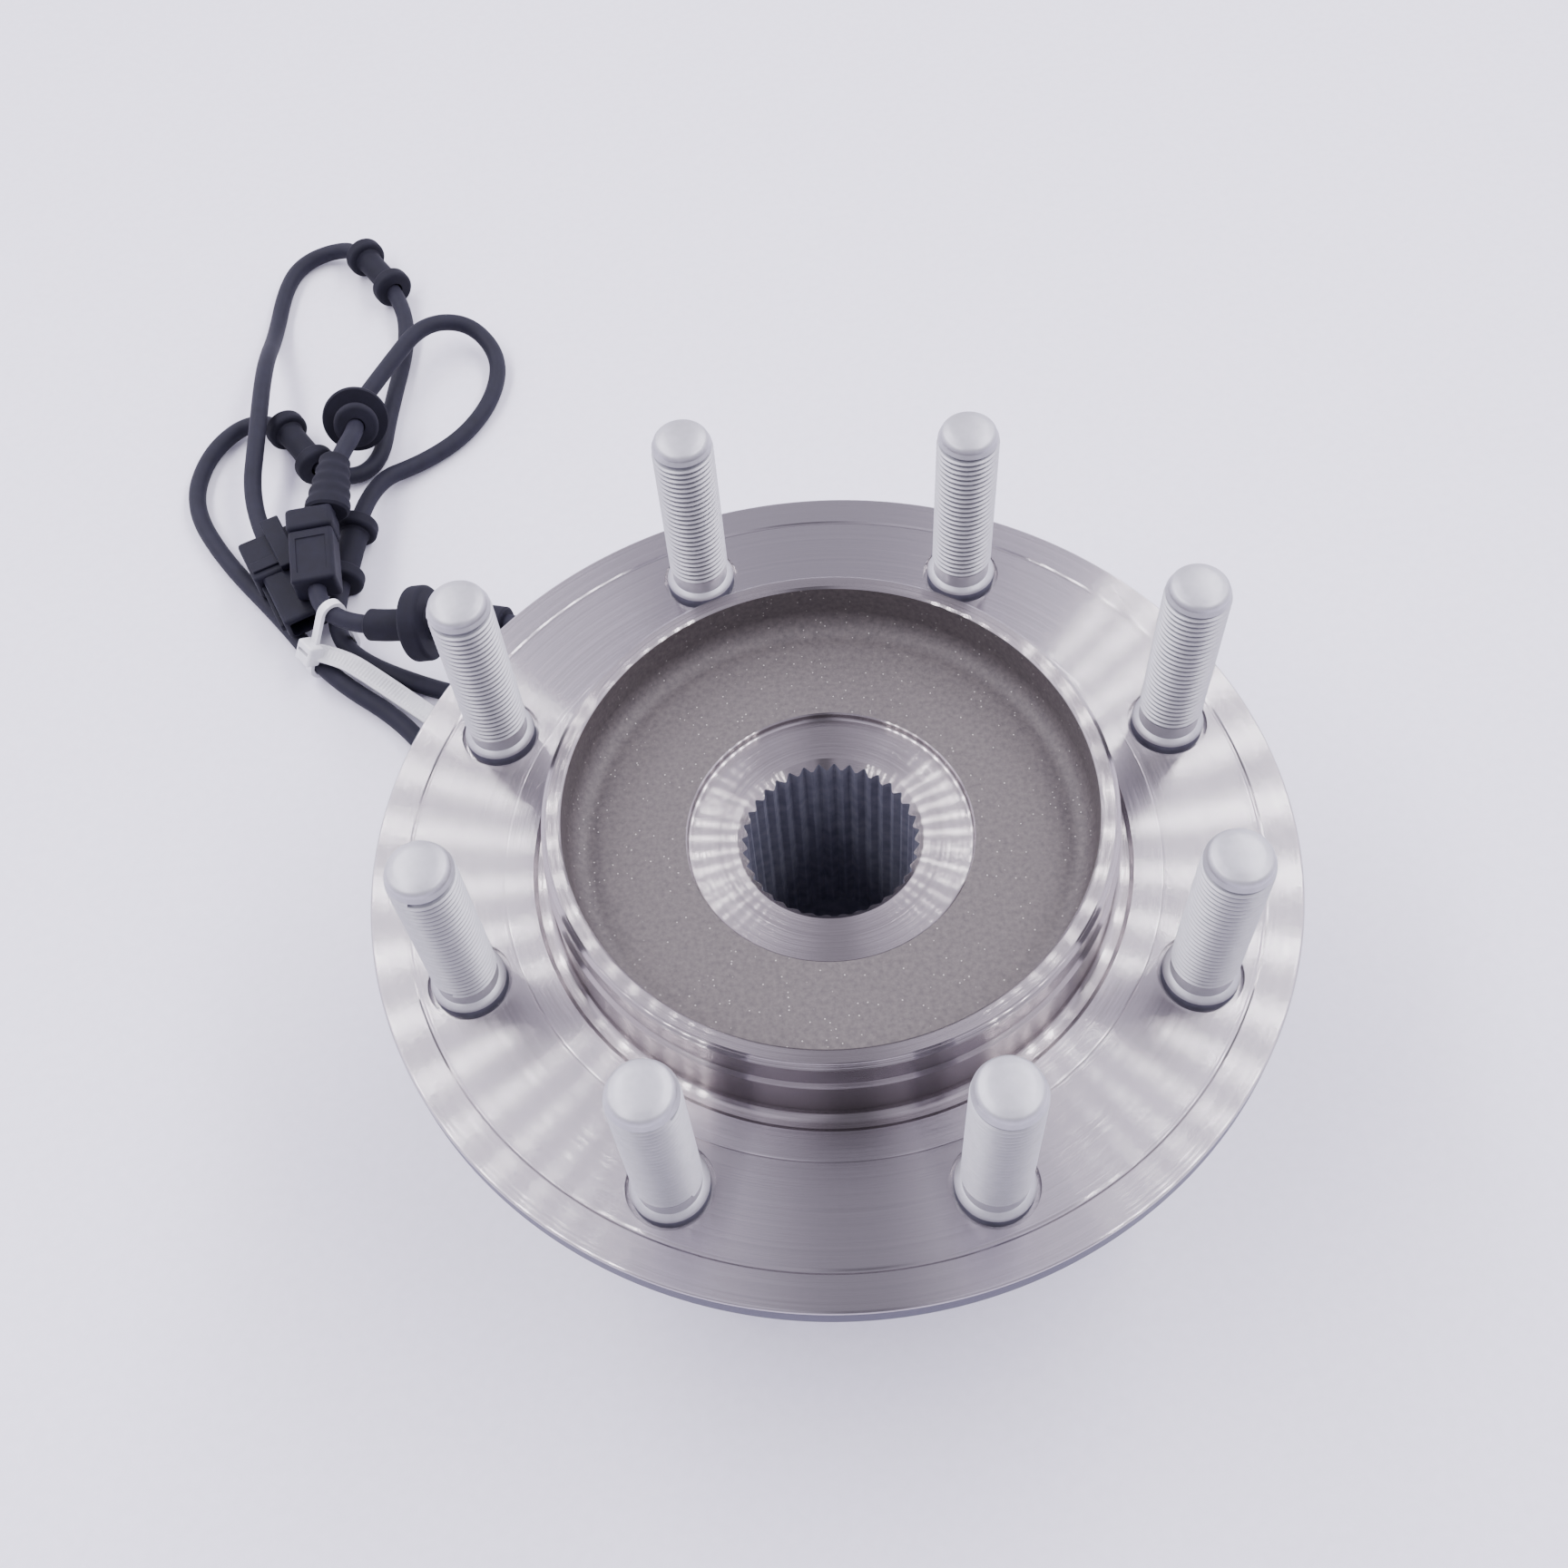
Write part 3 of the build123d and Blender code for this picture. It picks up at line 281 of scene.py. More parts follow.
@dataclass(frozen=True)
class ForgedSteel(GrainedFinish):
    """Shot-blasted forging skin: dull grey-brown, sandy to the eye, with sparse painted glints.

    Attributes:
        glint_mm: Mean distance between places where a painted glint may lie.
        glint_reach: Radius of a painted glint as a share of that distance.
        glint_rarity: Share of those places that stay bare.
        bright: Colour of a painted glint, in sRGB hex.
    """

    patch_mm: float = 1.1
    patch_range: Pair = (0.3, 0.72)
    grain_mm: float = 0.55
    grain_height_mm: float = 0.1
    grain_strength: float = 0.7
    glint_mm: float = 1.0
    glint_reach: float = 0.14
    glint_rarity: float = 0.8
    bright: str = "b4aeac"

    def draw(self, tree: bpy.types.NodeTree, shader: bpy.types.Node) -> None:
        """Draw the blasted grain, then a painted glint in each cell whose random colour picks it
        out.

        Args:
            tree: The material's node tree.
            shader: Its Principled shader.
        """
        super().draw(tree, shader)
        cells = add_node(
            tree,
            "ShaderNodeTexVoronoi",
            {"Scale": 1 / (self.glint_mm * MM)},
            {"Vector": add_node(tree, "ShaderNodeTexCoord").outputs["Object"]},
        )
        near = add_node(
            tree,
            "ShaderNodeMath",
            {"operation": "LESS_THAN", 1: self.glint_reach},
            {0: cells.outputs["Distance"]},
        )
        lot = add_node(tree, "ShaderNodeSeparateColor", links={"Color": cells.outputs["Color"]})
        chosen = add_node(
            tree,
            "ShaderNodeMath",
            {"operation": "GREATER_THAN", 1: self.glint_rarity},
            {0: lot.outputs["Red"]},
        )
        glint = add_node(
            tree,
            "ShaderNodeMath",
            {"operation": "MULTIPLY"},
            {0: near.outputs[0], 1: chosen.outputs[0]},
        )
        skin = shader.inputs["Base Color"].links[0].from_socket
        # Painted glints: the bright colour is mixed into the skin's colour in the chosen cells.
        mix = add_node(
            tree,
            "ShaderNodeMix",
            {"data_type": "RGBA", 7: linear(self.bright)},
            {0: glint.outputs[0], 6: skin},
        )
        tree.links.new(mix.outputs[2], shader.inputs["Base Color"])


@dataclass(frozen=True)
class TurnedSteel(Finish):
    """Lathe-turned steel: grooves round the axis that stretch every highlight along the radius.

    Attributes:
        ring_mm: Width of the rings of lighter and darker steel, coarser than the tool's feed,
            which is too fine to show.
        groove_mm: Width of the grooves that catch the light, which are never seen one by one.
        groove_slope: Steepness of the grooves' sides.
        stretch: How far a highlight is drawn out across the grooves.
        rough_spread: How far the roughness strays from ring to ring.
    """

    ring_mm: float = 0.9
    groove_mm: float = 0.08
    groove_slope: float = 1.1
    stretch: float = 1.0
    rough_spread: float = 0.02

    def draw(self, tree: bpy.types.NodeTree, shader: bpy.types.Node) -> None:
        """Draw turning rings by the distance to the hub axis, then the grooves.

        Args:
            tree: The material's node tree.
            shader: Its Principled shader.
        """
        flat = add_node(
            tree,
            "ShaderNodeVectorMath",
            {"operation": "MULTIPLY", 1: (1.0, 1.0, 0.0)},
            {0: add_node(tree, "ShaderNodeTexCoord").outputs["Object"]},
        )
        radius = add_node(
            tree, "ShaderNodeVectorMath", {"operation": "LENGTH"}, {0: flat.outputs[0]}
        )
        rings = add_node(
            tree,
            "ShaderNodeTexNoise",
            {
                "noise_dimensions": "1D",
                "Scale": 1 / (self.ring_mm * MM),
                "Detail": 5.0,
                "Roughness": 0.65,
            },
            {"W": radius.outputs["Value"]},
        )
        self.colour_by(tree, shader, rings.outputs["Fac"])
        rough = add_node(
            tree,
            "ShaderNodeMapRange",
            {
                "To Min": self.roughness - self.rough_spread,
                "To Max": self.roughness + self.rough_spread,
            },
            {"Value": rings.outputs["Fac"]},
        )
        tree.links.new(rough.outputs["Result"], shader.inputs["Roughness"])
        self.cut_grooves(tree, shader, radius.outputs["Value"])

    def cut_grooves(
        self, tree: bpy.types.NodeTree, shader: bpy.types.Node, radius: bpy.types.NodeSocket
    ) -> None:
        """Tilt the surface to and fro across the grooves, and not along them.

        Args:
            tree: The material's node tree.
            shader: Its Principled shader, whose normal is tilted.
            radius: Socket of the distance to the hub axis.
        """
        spot = add_node(tree, "ShaderNodeTexCoord").outputs["Object"]
        round_axis = add_node(
            tree, "ShaderNodeVectorMath", {"operation": "CROSS_PRODUCT", 0: UP[:]}, {1: spot}
        )
        heading = add_node(
            tree, "ShaderNodeVectorMath", {"operation": "NORMALIZE"}, {0: round_axis.outputs[0]}
        )
        along = add_node(
            tree,
            "ShaderNodeVectorTransform",
            {"vector_type": "VECTOR", "convert_from": "OBJECT", "convert_to": "WORLD"},
            {"Vector": heading.outputs[0]},
        )
        facing = add_node(tree, "ShaderNodeNewGeometry").outputs["Normal"]
        across = add_node(
            tree,
            "ShaderNodeVectorMath",
            {"operation": "CROSS_PRODUCT"},
            {0: facing, 1: along.outputs[0]},
        )
        # Radius plus distance to the origin changes both across a flat face and up a round wall.
        reach = add_node(tree, "ShaderNodeVectorMath", {"operation": "LENGTH"}, {0: spot})
        path = add_node(
            tree, "ShaderNodeMath", {"operation": "ADD"}, {0: radius, 1: reach.outputs["Value"]}
        )
        grooves = add_node(
            tree,
            "ShaderNodeTexNoise",
            {"noise_dimensions": "1D", "Scale": 1 / (self.groove_mm * MM), "Detail": 1.0},
            {"W": path.outputs[0]},
        )
        tilt = add_node(
            tree,
            "ShaderNodeMapRange",
            {"clamp": False, "To Min": -self.groove_slope / 2, "To Max": self.groove_slope / 2},
            {"Value": grooves.outputs["Fac"]},
        )
        lean = add_node(
            tree,
            "ShaderNodeVectorMath",
            {"operation": "SCALE"},
            {0: across.outputs[0], "Scale": tilt.outputs["Result"]},
        )
        leaning = add_node(
            tree, "ShaderNodeVectorMath", {"operation": "ADD"}, {0: facing, 1: lean.outputs[0]}
        )
        normal = add_node(
            tree, "ShaderNodeVectorMath", {"operation": "NORMALIZE"}, {0: leaning.outputs[0]}
        )
        tree.links.new(normal.outputs[0], shader.inputs["Normal"])
        shader.inputs["Anisotropic"].default_value = self.stretch
        tree.links.new(across.outputs[0], shader.inputs["Tangent"])


# Medium-carbon steel, finish turned: mid grey that flares where the grooves face a light.
TURNED_FACE = TurnedSteel("turned_steel_face", "b3adb2", "a8a2a7", 1.0, 0.2)
# The same steel with a finer cut: tighter in its highlights, with steeper grooves.
FINE_TURNED = TurnedSteel(
    "fine_turned_steel", "a9a2a5", "9c9598", 1.0, 0.16, ring_mm=0.6, groove_slope=1.5
)
# The pilot's wall, turned with a coarser tool: darker, with lines that show.
PILOT_WALL = TurnedSteel(
    "turned_pilot_wall", "ada5a8", "888084", 1.0, 0.22, ring_mm=1.6, groove_slope=0.9
)
# The flange's rim under the chamfer, in a darker, bluer steel: painted shade on the flange's side
# wall.
FLANGE_RIM_SHADE = TurnedSteel("flange_rim_painted_shade", "6b6977", "5a5866", 0.8, 0.4)
# Forging skin left unmachined inside the pilot: dull, sandy, slightly brown, with painted glints.
FORGING_SKIN = ForgedSteel("forged_steel_skin", "635c5d", "4d474a", 0.3, 0.6)
# Broached splines, lightly oiled and dull, dark in the depth of the bore.
BROACHED = Finish("broached_steel", "7e7e8d", "6c6c7d", 0.3, 0.65)
# Zinc flake on the studs and the sensor screw: matt silver.
ZINC_FLAKE = CoatedSteel("zinc_flake_coated_steel", "b8b6be", "a2a0a8", 0.6, 0.45)
# The same coating, darker down in the thread's root and the inner half of its flanks: painted shade
# in the thread's hollows.
ZINC_ROOT_SHADE = CoatedSteel("zinc_flake_painted_root_shade", "8b8a92", "7c7b83", 0.5, 0.55)
# Dark steel on each stud up to just above the flange: painted shade of the gap round the collar,
# also laid on the head and knurl below.
COLLAR_SHADE_PAINT = Finish("stud_collar_painted_shade", "6a697a", "5c5b6b", 0.4, 0.5)
# Machined housing under a film of rust-preventing oil: darker than the hub, in soft rings.
OILED_STEEL = TurnedSteel("oiled_machined_steel", "8b898e", "747278", 1.0, 0.3, groove_slope=0.5)
# Ground and hardened bearing steel: smooth and bright, with an even grey.
GROUND_STEEL = Finish("ground_bearing_steel", "a5a5a9", "8f8f94", 1.0, 0.22)
# Phosphated sheet of the cages and seal cases: dull dark grey.
PHOSPHATED = Finish("phosphated_sheet_steel", "6d6c70", "59585c", 0.9, 0.5)
# Steam-treated powder metal of the tone ring: nearly black, slightly blue.
SINTERED = Finish("steam_treated_sinter", "4b4b52", "3c3c43", 0.8, 0.55)
# Extruded elastomer jacket of the lead: blue-black, half matt.
LEAD_JACKET = Polymer("extruded_lead_jacket", "1a1928", "151421", 0.0, 0.68, 1.45, 0.3)
# Moulded rubber of grommets and boot: the same black, a little duller.
MOULDED_RUBBER = Polymer("moulded_rubber", "151421", "11101b", 0.0, 0.75, 1.45, 0.25)
# Glass-filled nylon of sensor, splice and connector: black, with a slight sheen.
BLACK_NYLON = Polymer("moulded_black_nylon", "141321", "100f1a", 0.0, 0.6, 1.45, 0.2)
# Natural nylon of the cable tie: milky white, half gloss.
WHITE_NYLON = Polymer("natural_nylon", "e6e5ea", "d6d5db", 0.0, 0.25, 1.53)
# Tin plate on the brass contacts: bright, with a warm tinge.
TIN_PLATE = Finish("tin_plate", "bdbcb8", "a7a6a2", 1.0, 0.3)
# Seamless background paper: pale, slightly cool, wholly matt.
FLOOR_PAPER = Finish("seamless_paper", "efecfb", "ebe8f7", 0.0, 0.9, 1.45)


# ---------------------------------------------------------------------------
# Modelling helpers: each works as by hand, on an active object
# ---------------------------------------------------------------------------


def deselect_all() -> None:
    """Leave edit mode and deselect every object."""
    if bpy.context.object and bpy.context.object.mode != "OBJECT":
        bpy.ops.object.mode_set(mode="OBJECT")
    bpy.ops.object.select_all(action="DESELECT")


def pick(*objects: bpy.types.Object) -> None:
    """Select only these objects and make the first one active.

    Args:
        *objects: The objects.
    """
    deselect_all()
    for obj in objects:
        obj.select_set(True)
    bpy.context.view_layer.objects.active = objects[0]


def edit_all(obj: bpy.types.Object) -> None:
    """Open a piece in edit mode with its whole mesh selected.

    Args:
        obj: The piece.
    """
    pick(obj)
    bpy.ops.object.mode_set(mode="EDIT")
    bpy.ops.mesh.select_all(action="SELECT")


def apply_place(*objects: bpy.types.Object) -> None:
    """Put the place, turn and size of objects into their meshes.

    Args:
        *objects: The objects.
    """
    pick(*objects)
    bpy.ops.object.transform_apply(location=True, rotation=True, scale=True)


def apply_modifier(obj: bpy.types.Object, kind: str, **settings: Any) -> None:
    """Add a modifier, set it up and apply it.

    Args:
        obj: Object to change.
        kind: Blender's modifier type.
        **settings: Modifier properties.
    """
    pick(obj)
    modifier = obj.modifiers.new(kind.title().replace("_", ""), kind)
    for key, value in settings.items():
        setattr(modifier, key, value)
    bpy.ops.object.modifier_apply(modifier=modifier.name)


def clean_shell(obj: bpy.types.Object) -> None:
    """Merge doubled points and turn every face outwards.

    Args:
        obj: The piece.
    """
    edit_all(obj)
    bpy.ops.mesh.remove_doubles(threshold=MERGE_MM * MM)
    bpy.ops.mesh.normals_make_consistent(inside=False)
    bpy.ops.object.mode_set(mode="OBJECT")


def smooth(obj: bpy.types.Object, angle_deg: float = 32.0) -> None:
    """Shade smooth, with edges sharper than the angle left crisp.

    Args:
        obj: The piece.
        angle_deg: The angle between faces above which their edge stays crisp.
    """
    pick(obj)
    bpy.ops.object.shade_smooth_by_angle(angle=math.radians(angle_deg))
    apply_modifier(obj, "WEIGHTED_NORMAL", mode="FACE_AREA", weight=100, keep_sharp=True)


def draw_outline(name: str, points_mm: Outline) -> bpy.types.Object:
    """Draw a line of points in the XZ plane by extruding one vertex.

    Args:
        name: Name of the object.
        points_mm: (radius, height) points in millimetres.

    Returns:
        The object, still in edit mode with its points selected.
    """
    deselect_all()
    bpy.ops.mesh.primitive_plane_add(size=MM, location=(0, 0, 0))
    obj = bpy.context.active_object
    obj.name = name
    bpy.ops.object.mode_set(mode="EDIT")
    bpy.ops.mesh.select_all(action="SELECT")
    bpy.ops.mesh.merge(type="CENTER")
    first = points_mm[0]
    bpy.ops.transform.translate(value=(first[0] * MM, 0, first[1] * MM))
    for before, after in zip(points_mm, points_mm[1:]):
        step = ((after[0] - before[0]) * MM, 0, (after[1] - before[1]) * MM)
        bpy.ops.mesh.extrude_vertices_move(TRANSFORM_OT_translate={"value": step})
    bpy.ops.mesh.select_all(action="SELECT")
    return obj


def lathe(name: str, points_mm: Outline, steps: int = 96, closed: bool = True) -> bpy.types.Object:
    """Spin an outline round the Z axis.

    Args:
        name: Name of the object.
        points_mm: (radius, height) points in millimetres.
        steps: Facets round the axis.
        closed: Whether the outline runs back to its first point.

    Returns:
        The turned object.
    """
    points = list(points_mm) + ([points_mm[0]] if closed else [])
    obj = draw_outline(name, points)
    bpy.ops.mesh.spin(steps=steps, angle=FULL_TURN, center=(0, 0, 0), axis=(0, 0, 1))
    clean_shell(obj)
    return obj


def spread(low: float, high: float, steps: int) -> list[float]:
    """Evenly spaced values from the first to the last, both counted in."""
    return [low + (high - low) * i / steps for i in range(steps + 1)]


def arc(
    centre: Pair, radius: float, start_deg: float, end_deg: float, steps: int = 5
) -> Outline:
    """Points of a round corner of an outline.

    Args:
        centre: Middle of the corner's circle.
        radius: Radius of the corner.
        start_deg: Angle of the first point.
        end_deg: Angle of the last point.
        steps: Facets of the corner.

    Returns:
        The points, first to last.
    """
    turns = [math.radians(angle) for angle in spread(start_deg, end_deg, steps)]
    return [(centre[0] + radius * math.cos(t), centre[1] + radius * math.sin(t)) for t in turns]


def facing_turn(x_axis: Vector, y_axis: Vector, z_axis: Vector) -> Matrix:
    """Turn that lays the X, Y and Z axes along three square directions."""
    return Matrix((x_axis, y_axis, z_axis)).transposed().to_4x4()


def place(
    obj: bpy.types.Object, origin_mm: Sequence[float], z_dir: Vector, x_dir: Vector
) -> bpy.types.Object:
    """Move a piece made at the origin to its place and apply that place to its mesh.

    Args:
        obj: The piece.
        origin_mm: Where its origin goes, in millimetres.
        z_dir: Where its Z axis points.
        x_dir: Roughly where its X axis points.

    Returns:
        The same piece.
    """
    z_axis = z_dir.normalized()
    y_axis = z_axis.cross(x_dir).normalized()
    turn = facing_turn(y_axis.cross(z_axis), y_axis, z_axis)
    obj.matrix_world = Matrix.Translation(Vector(origin_mm) * MM) @ turn
    apply_place(obj)
    return obj


def block(
    name: str, size_mm: Point, centre_mm: Point, round_mm: float = 0.0, steps: int = 3
) -> bpy.types.Object:
    """Make a box with rounded edges, about the local origin.

    Args:
        name: Name of the object.
        size_mm: Size along X, Y and Z.
        centre_mm: Middle of the box.
        round_mm: Radius of its edges.
        steps: Facets of each rounded edge.

    Returns:
        The box.
    """
    deselect_all()
    bpy.ops.mesh.primitive_cube_add(size=1.0, location=[c * MM for c in centre_mm])
    obj = bpy.context.active_object
    obj.name = name
    obj.scale = [s * MM for s in size_mm]
    bpy.ops.object.transform_apply(location=True, rotation=True, scale=True)
    if round_mm:
        apply_modifier(obj, "BEVEL", width=round_mm * MM, segments=steps, limit_method="NONE")
    return obj


def rod(radius_mm: float, length_mm: float, centre_mm: Point, facets: int) -> bpy.types.Object:
    """Make an upright rod.

    Args:
        radius_mm: Its radius.
        length_mm: Its length along Z.
        centre_mm: Its middle.
        facets: Facets round it.

    Returns:
        The rod.
    """
    deselect_all()
    bpy.ops.mesh.primitive_cylinder_add(
        vertices=facets,
        radius=radius_mm * MM,
        depth=length_mm * MM,
        location=[c * MM for c in centre_mm],
    )
    return bpy.context.active_object


def draw_line(name: str, points_mm: Sequence[Point]) -> bpy.types.Object:
    """Draw one smooth line with the given control points.

    Args:
        name: Name of the object and its curve.
        points_mm: The control points.

    Returns:
        The line's curve object.
    """
    drawn = bpy.data.curves.new(name, "CURVE")
    drawn.dimensions = "3D"
    spline = drawn.splines.new("NURBS")
    spline.points.add(len(points_mm) - 1)
    for point, place_mm in zip(spline.points, points_mm):
        point.co = (*(Vector(place_mm) * MM), 1.0)
    spline.order_u = 3
    spline.use_endpoint_u = True
    obj = bpy.data.objects.new(name, drawn)
    bpy.context.collection.objects.link(obj)
    return obj


def join(name: str, pieces: Sequence[bpy.types.Object]) -> bpy.types.Object:
    """Join objects into one.

    Args:
        name: Name of the joined object.
        pieces: The objects.

    Returns:
        The joined object.
    """
    pick(*pieces)
    bpy.ops.object.join()
    joined = bpy.context.active_object
    joined.name = name
    return joined


def cut(obj: bpy.types.Object, cutter: bpy.types.Object) -> None:
    """Cut one object out of another and throw the cutter away."""
    apply_modifier(obj, "BOOLEAN", operation="DIFFERENCE", solver="EXACT", object=cutter)
    bpy.data.objects.remove(cutter, do_unlink=True)


def copy_piece(obj: bpy.types.Object, name: str) -> bpy.types.Object:
    """Copy a piece with its own mesh.

    Args:
        obj: The piece.
        name: Name of the copy.

    Returns:
        The copy.
    """
    made = obj.copy()
    made.data = obj.data.copy()
    made.name = name
    bpy.context.collection.objects.link(made)
    return made


def dress(obj: bpy.types.Object, finish: Finish) -> None:
    """Give a whole piece one finish."""
    obj.data.materials.clear()
    obj.data.materials.append(finish.material())


def dress_zones(
    obj: bpy.types.Object, finishes: Sequence[Finish], zone: Callable[[float, float], int]
) -> None:
    """Give each face the finish that its radius and height call for.

    Args:
        obj: The piece.
        finishes: The finishes in zone order.
        zone: Function of radius and height in millimetres that gives the zone.
    """
    obj.data.materials.clear()
    for finish in finishes:
        obj.data.materials.append(finish.material())
    for face in obj.data.polygons:
        centre = face.center / MM
        face.material_index = zone(math.hypot(centre.x, centre.y), centre.z)


def settle(obj: bpy.types.Object, body: Body, slot: Slot, node: str) -> bpy.types.Object:
    """Let a finished piece ride on its body and stand for its CAD node.

    Args:
        obj: The piece.
        body: The body it rides on.
        slot: Material slot of the record; not used.
        node: CAD node that it replaces.

    Returns:
        The same piece.
    """
    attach(obj, body.value)
    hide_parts(node)
    LOG.info("%s rides on %s in place of %s", obj.name, body.value, node)
    return obj


def dressed_copy(
    node: str, name: str, finish: Finish, body: Body, slot: Slot, edge_mm: float = 0.0
) -> bpy.types.Object:
    """Copy a CAD node, merge its loose triangles, break its edges and dress it.

    Args:
        node: The CAD node to stand for.
        name: Name of the piece.
        finish: Its finish.
        body: The body it rides on.
        slot: Its material slot in the record.
        edge_mm: Width of the broken edges, or 0 for none.

    Returns:
        The piece.
    """
    obj = copy_piece(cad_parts[node], name)
    for key in list(obj.keys()):
        del obj[key]
    obj.parent = None
    obj.matrix_world = Matrix.Identity(4)
    obj.hide_render = False
    clean_shell(obj)
    edit_all(obj)
    bpy.ops.mesh.dissolve_limited(angle_limit=math.radians(FLAT_DEG))
    bpy.ops.object.mode_set(mode="OBJECT")
    if edge_mm:
        apply_modifier(
            obj,
            "BEVEL",
            width=edge_mm * MM,
            segments=2,
            limit_method="ANGLE",
            angle_limit=math.radians(EDGE_DEG),
            harden_normals=False,
        )
    smooth(obj)
    dress(obj, finish)
    return settle(obj, body, slot, node)


# ---------------------------------------------------------------------------
# Studio
# ---------------------------------------------------------------------------


@dataclass
class Studio:
    """Pale paper floor, a light tent with two rows of lamps, and the camera.

    Attributes:
        camera_mm: Place of the camera; yaw, pitch and roll turn it.
        face_mm: Middle of the flange's face, at which the lamps point.
        side_glow: Brightness of the tent's sides.
        far_glow: Brightness of the strip between them, low down.
        roof_glow: Brightness of that strip overhead.
        roof_range: Heights between which the strip goes from far to roof.
        front_share: Share of the brightness that is left at the open front.
        front_range: Depths between which the front opens.
        strip_half: Half widths between which the strip turns into a side.
        strip_flare: How much wider the strip gets towards the back.
        flare_range: Depths between which it widens.
        row_y: Depths of the first and the last lamp of a row, in metres.
        probe_rad: Small lean by which the fan of light on the flange is probed.
    """

    floor_m: float = 9.0
    camera_mm: Point = (-8.622, -186.321, 403.161)
    yaw_rad: float = -0.00183641
    pitch_rad: float = 1.00010896
    roll_rad: float = -0.0937471
    lens_mm: float = 38.536
    sensor_mm: float = 36.0
    near_m: float = 0.01
    face_mm: Point = (0.0, 0.0, 86.0)
    cloth_colour: str = "e3dff1"
    side_glow: float = 2.75
    far_glow: float = 1.25
    roof_glow: float = 0.62
    roof_range: Pair = (0.7, 0.96)
    front_share: float = 0.35
    front_range: Pair = (-0.6, 0.0)
    strip_half: Pair = (0.03, 0.19)
    strip_flare: float = 0.09
    flare_range: Pair = (0.3, 0.65)
    lamps_in_row: int = 15
    lamp_size: Pair = (0.014, 0.3)
    lamp_watts: float = 1.0
    row_x: float = 0.62
    row_y: Pair = (-0.5, 1.2)
    row_z: float = 1.0
    probe_rad: float = 0.01

    def build(self) -> None:
        """Lay the floor, hang the lights and set the camera."""
        self.lay_floor()
        self.set_camera()
        self.light_tent()
        for side_name, side in (("left", -1), ("right", 1)):
            for index in range(self.lamps_in_row):
                share = index / (self.lamps_in_row - 1)
                y = self.row_y[0] + (self.row_y[1] - self.row_y[0]) * share
                spot = Vector((side * self.row_x, y, self.row_z))
                self.hang_lamp(f"lamp_{side_name}_{index}", spot)
        LOG.info("studio: floor, tent, camera and %d lamps", 2 * self.lamps_in_row)

    def lay_floor(self) -> None:
        """Add the seamless paper floor."""
        deselect_all()
        bpy.ops.mesh.primitive_plane_add(size=self.floor_m, location=(0, 0, 0))
        floor = bpy.context.active_object
        floor.name = "paper_floor"
        dress(floor, FLOOR_PAPER)

    def set_camera(self) -> None:
        """Set the camera from its place, heading, tilt and roll."""
        forward = Vector(
            (
                math.sin(self.yaw_rad) * math.cos(self.pitch_rad),
                math.cos(self.yaw_rad) * math.cos(self.pitch_rad),
                -math.sin(self.pitch_rad),
            )
        )
        right = Vector((math.cos(self.yaw_rad), -math.sin(self.yaw_rad), 0.0))
        up = right.cross(forward)
        side = right * math.cos(self.roll_rad) + up * math.sin(self.roll_rad)
        top = up * math.cos(self.roll_rad) - right * math.sin(self.roll_rad)
        deselect_all()
        bpy.ops.object.camera_add()
        camera = bpy.context.active_object
        camera.name = "studio_camera"
        stand = Matrix.Translation(Vector(self.camera_mm) * MM)
        camera.matrix_world = stand @ facing_turn(side, top, -forward)
        camera.data.lens = self.lens_mm
        camera.data.sensor_width = self.sensor_mm
        camera.data.clip_start = self.near_m
        bpy.context.scene.camera = camera

    def light_tent(self) -> None:
        """Light the room as a tent: bright sides, a dimmer strip overhead, a dim open front."""
        world = bpy.data.worlds.new("light_tent")
        world.use_nodes = True
        tree = world.node_tree
        tree.nodes.clear()
        heading = add_node(tree, "ShaderNodeTexCoord").outputs["Generated"]
        axes = add_node(tree, "ShaderNodeSeparateXYZ", links={"Vector": heading})
        aside = add_node(tree, "ShaderNodeMath", {"operation": "ABSOLUTE"}, {0: axes.outputs["X"]})
        flare = add_node(
            tree,
            "ShaderNodeMapRange",
            {
                "From Min": self.flare_range[0],
                "From Max": self.flare_range[1],
                "To Max": self.strip_flare,
            },
            {"Value": axes.outputs["Y"]},
        )
        beyond = add_node(
            tree,
            "ShaderNodeMath",
            {"operation": "SUBTRACT"},
            {0: aside.outputs[0], 1: flare.outputs["Result"]},
        )
        sides = add_node(
            tree,
            "ShaderNodeMapRange",
            {
                "interpolation_type": "SMOOTHSTEP",
                "From Min": self.strip_half[0],
                "From Max": self.strip_half[1],
            },
            {"Value": beyond.outputs[0]},
        )
        strip = add_node(
            tree,
            "ShaderNodeMapRange",
            {
                "From Min": self.roof_range[0],
                "From Max": self.roof_range[1],
                "To Min": self.far_glow,
                "To Max": self.roof_glow,
            },
            {"Value": axes.outputs["Z"]},
        )
        front = add_node(
            tree,
            "ShaderNodeMapRange",
            {
                "From Min": self.front_range[0],
                "From Max": self.front_range[1],
                "To Min": self.front_share,
                "To Max": 1.0,
            },
            {"Value": axes.outputs["Y"]},
        )
        across = add_node(
            tree,
            "ShaderNodeMix",
            {"data_type": "FLOAT", 3: self.side_glow},
            {0: sides.outputs["Result"], 2: strip.outputs["Result"]},
        )
        glow = add_node(
            tree,
            "ShaderNodeMath",
            {"operation": "MULTIPLY"},
            {0: across.outputs[0], 1: front.outputs["Result"]},
        )
        cloth = add_node(
            tree,
            "ShaderNodeBackground",
            {"Color": linear(self.cloth_colour)},
            {"Strength": glow.outputs[0]},
        )
        add_node(tree, "ShaderNodeOutputWorld", links={"Surface": cloth.outputs[0]})
        bpy.context.scene.world = world

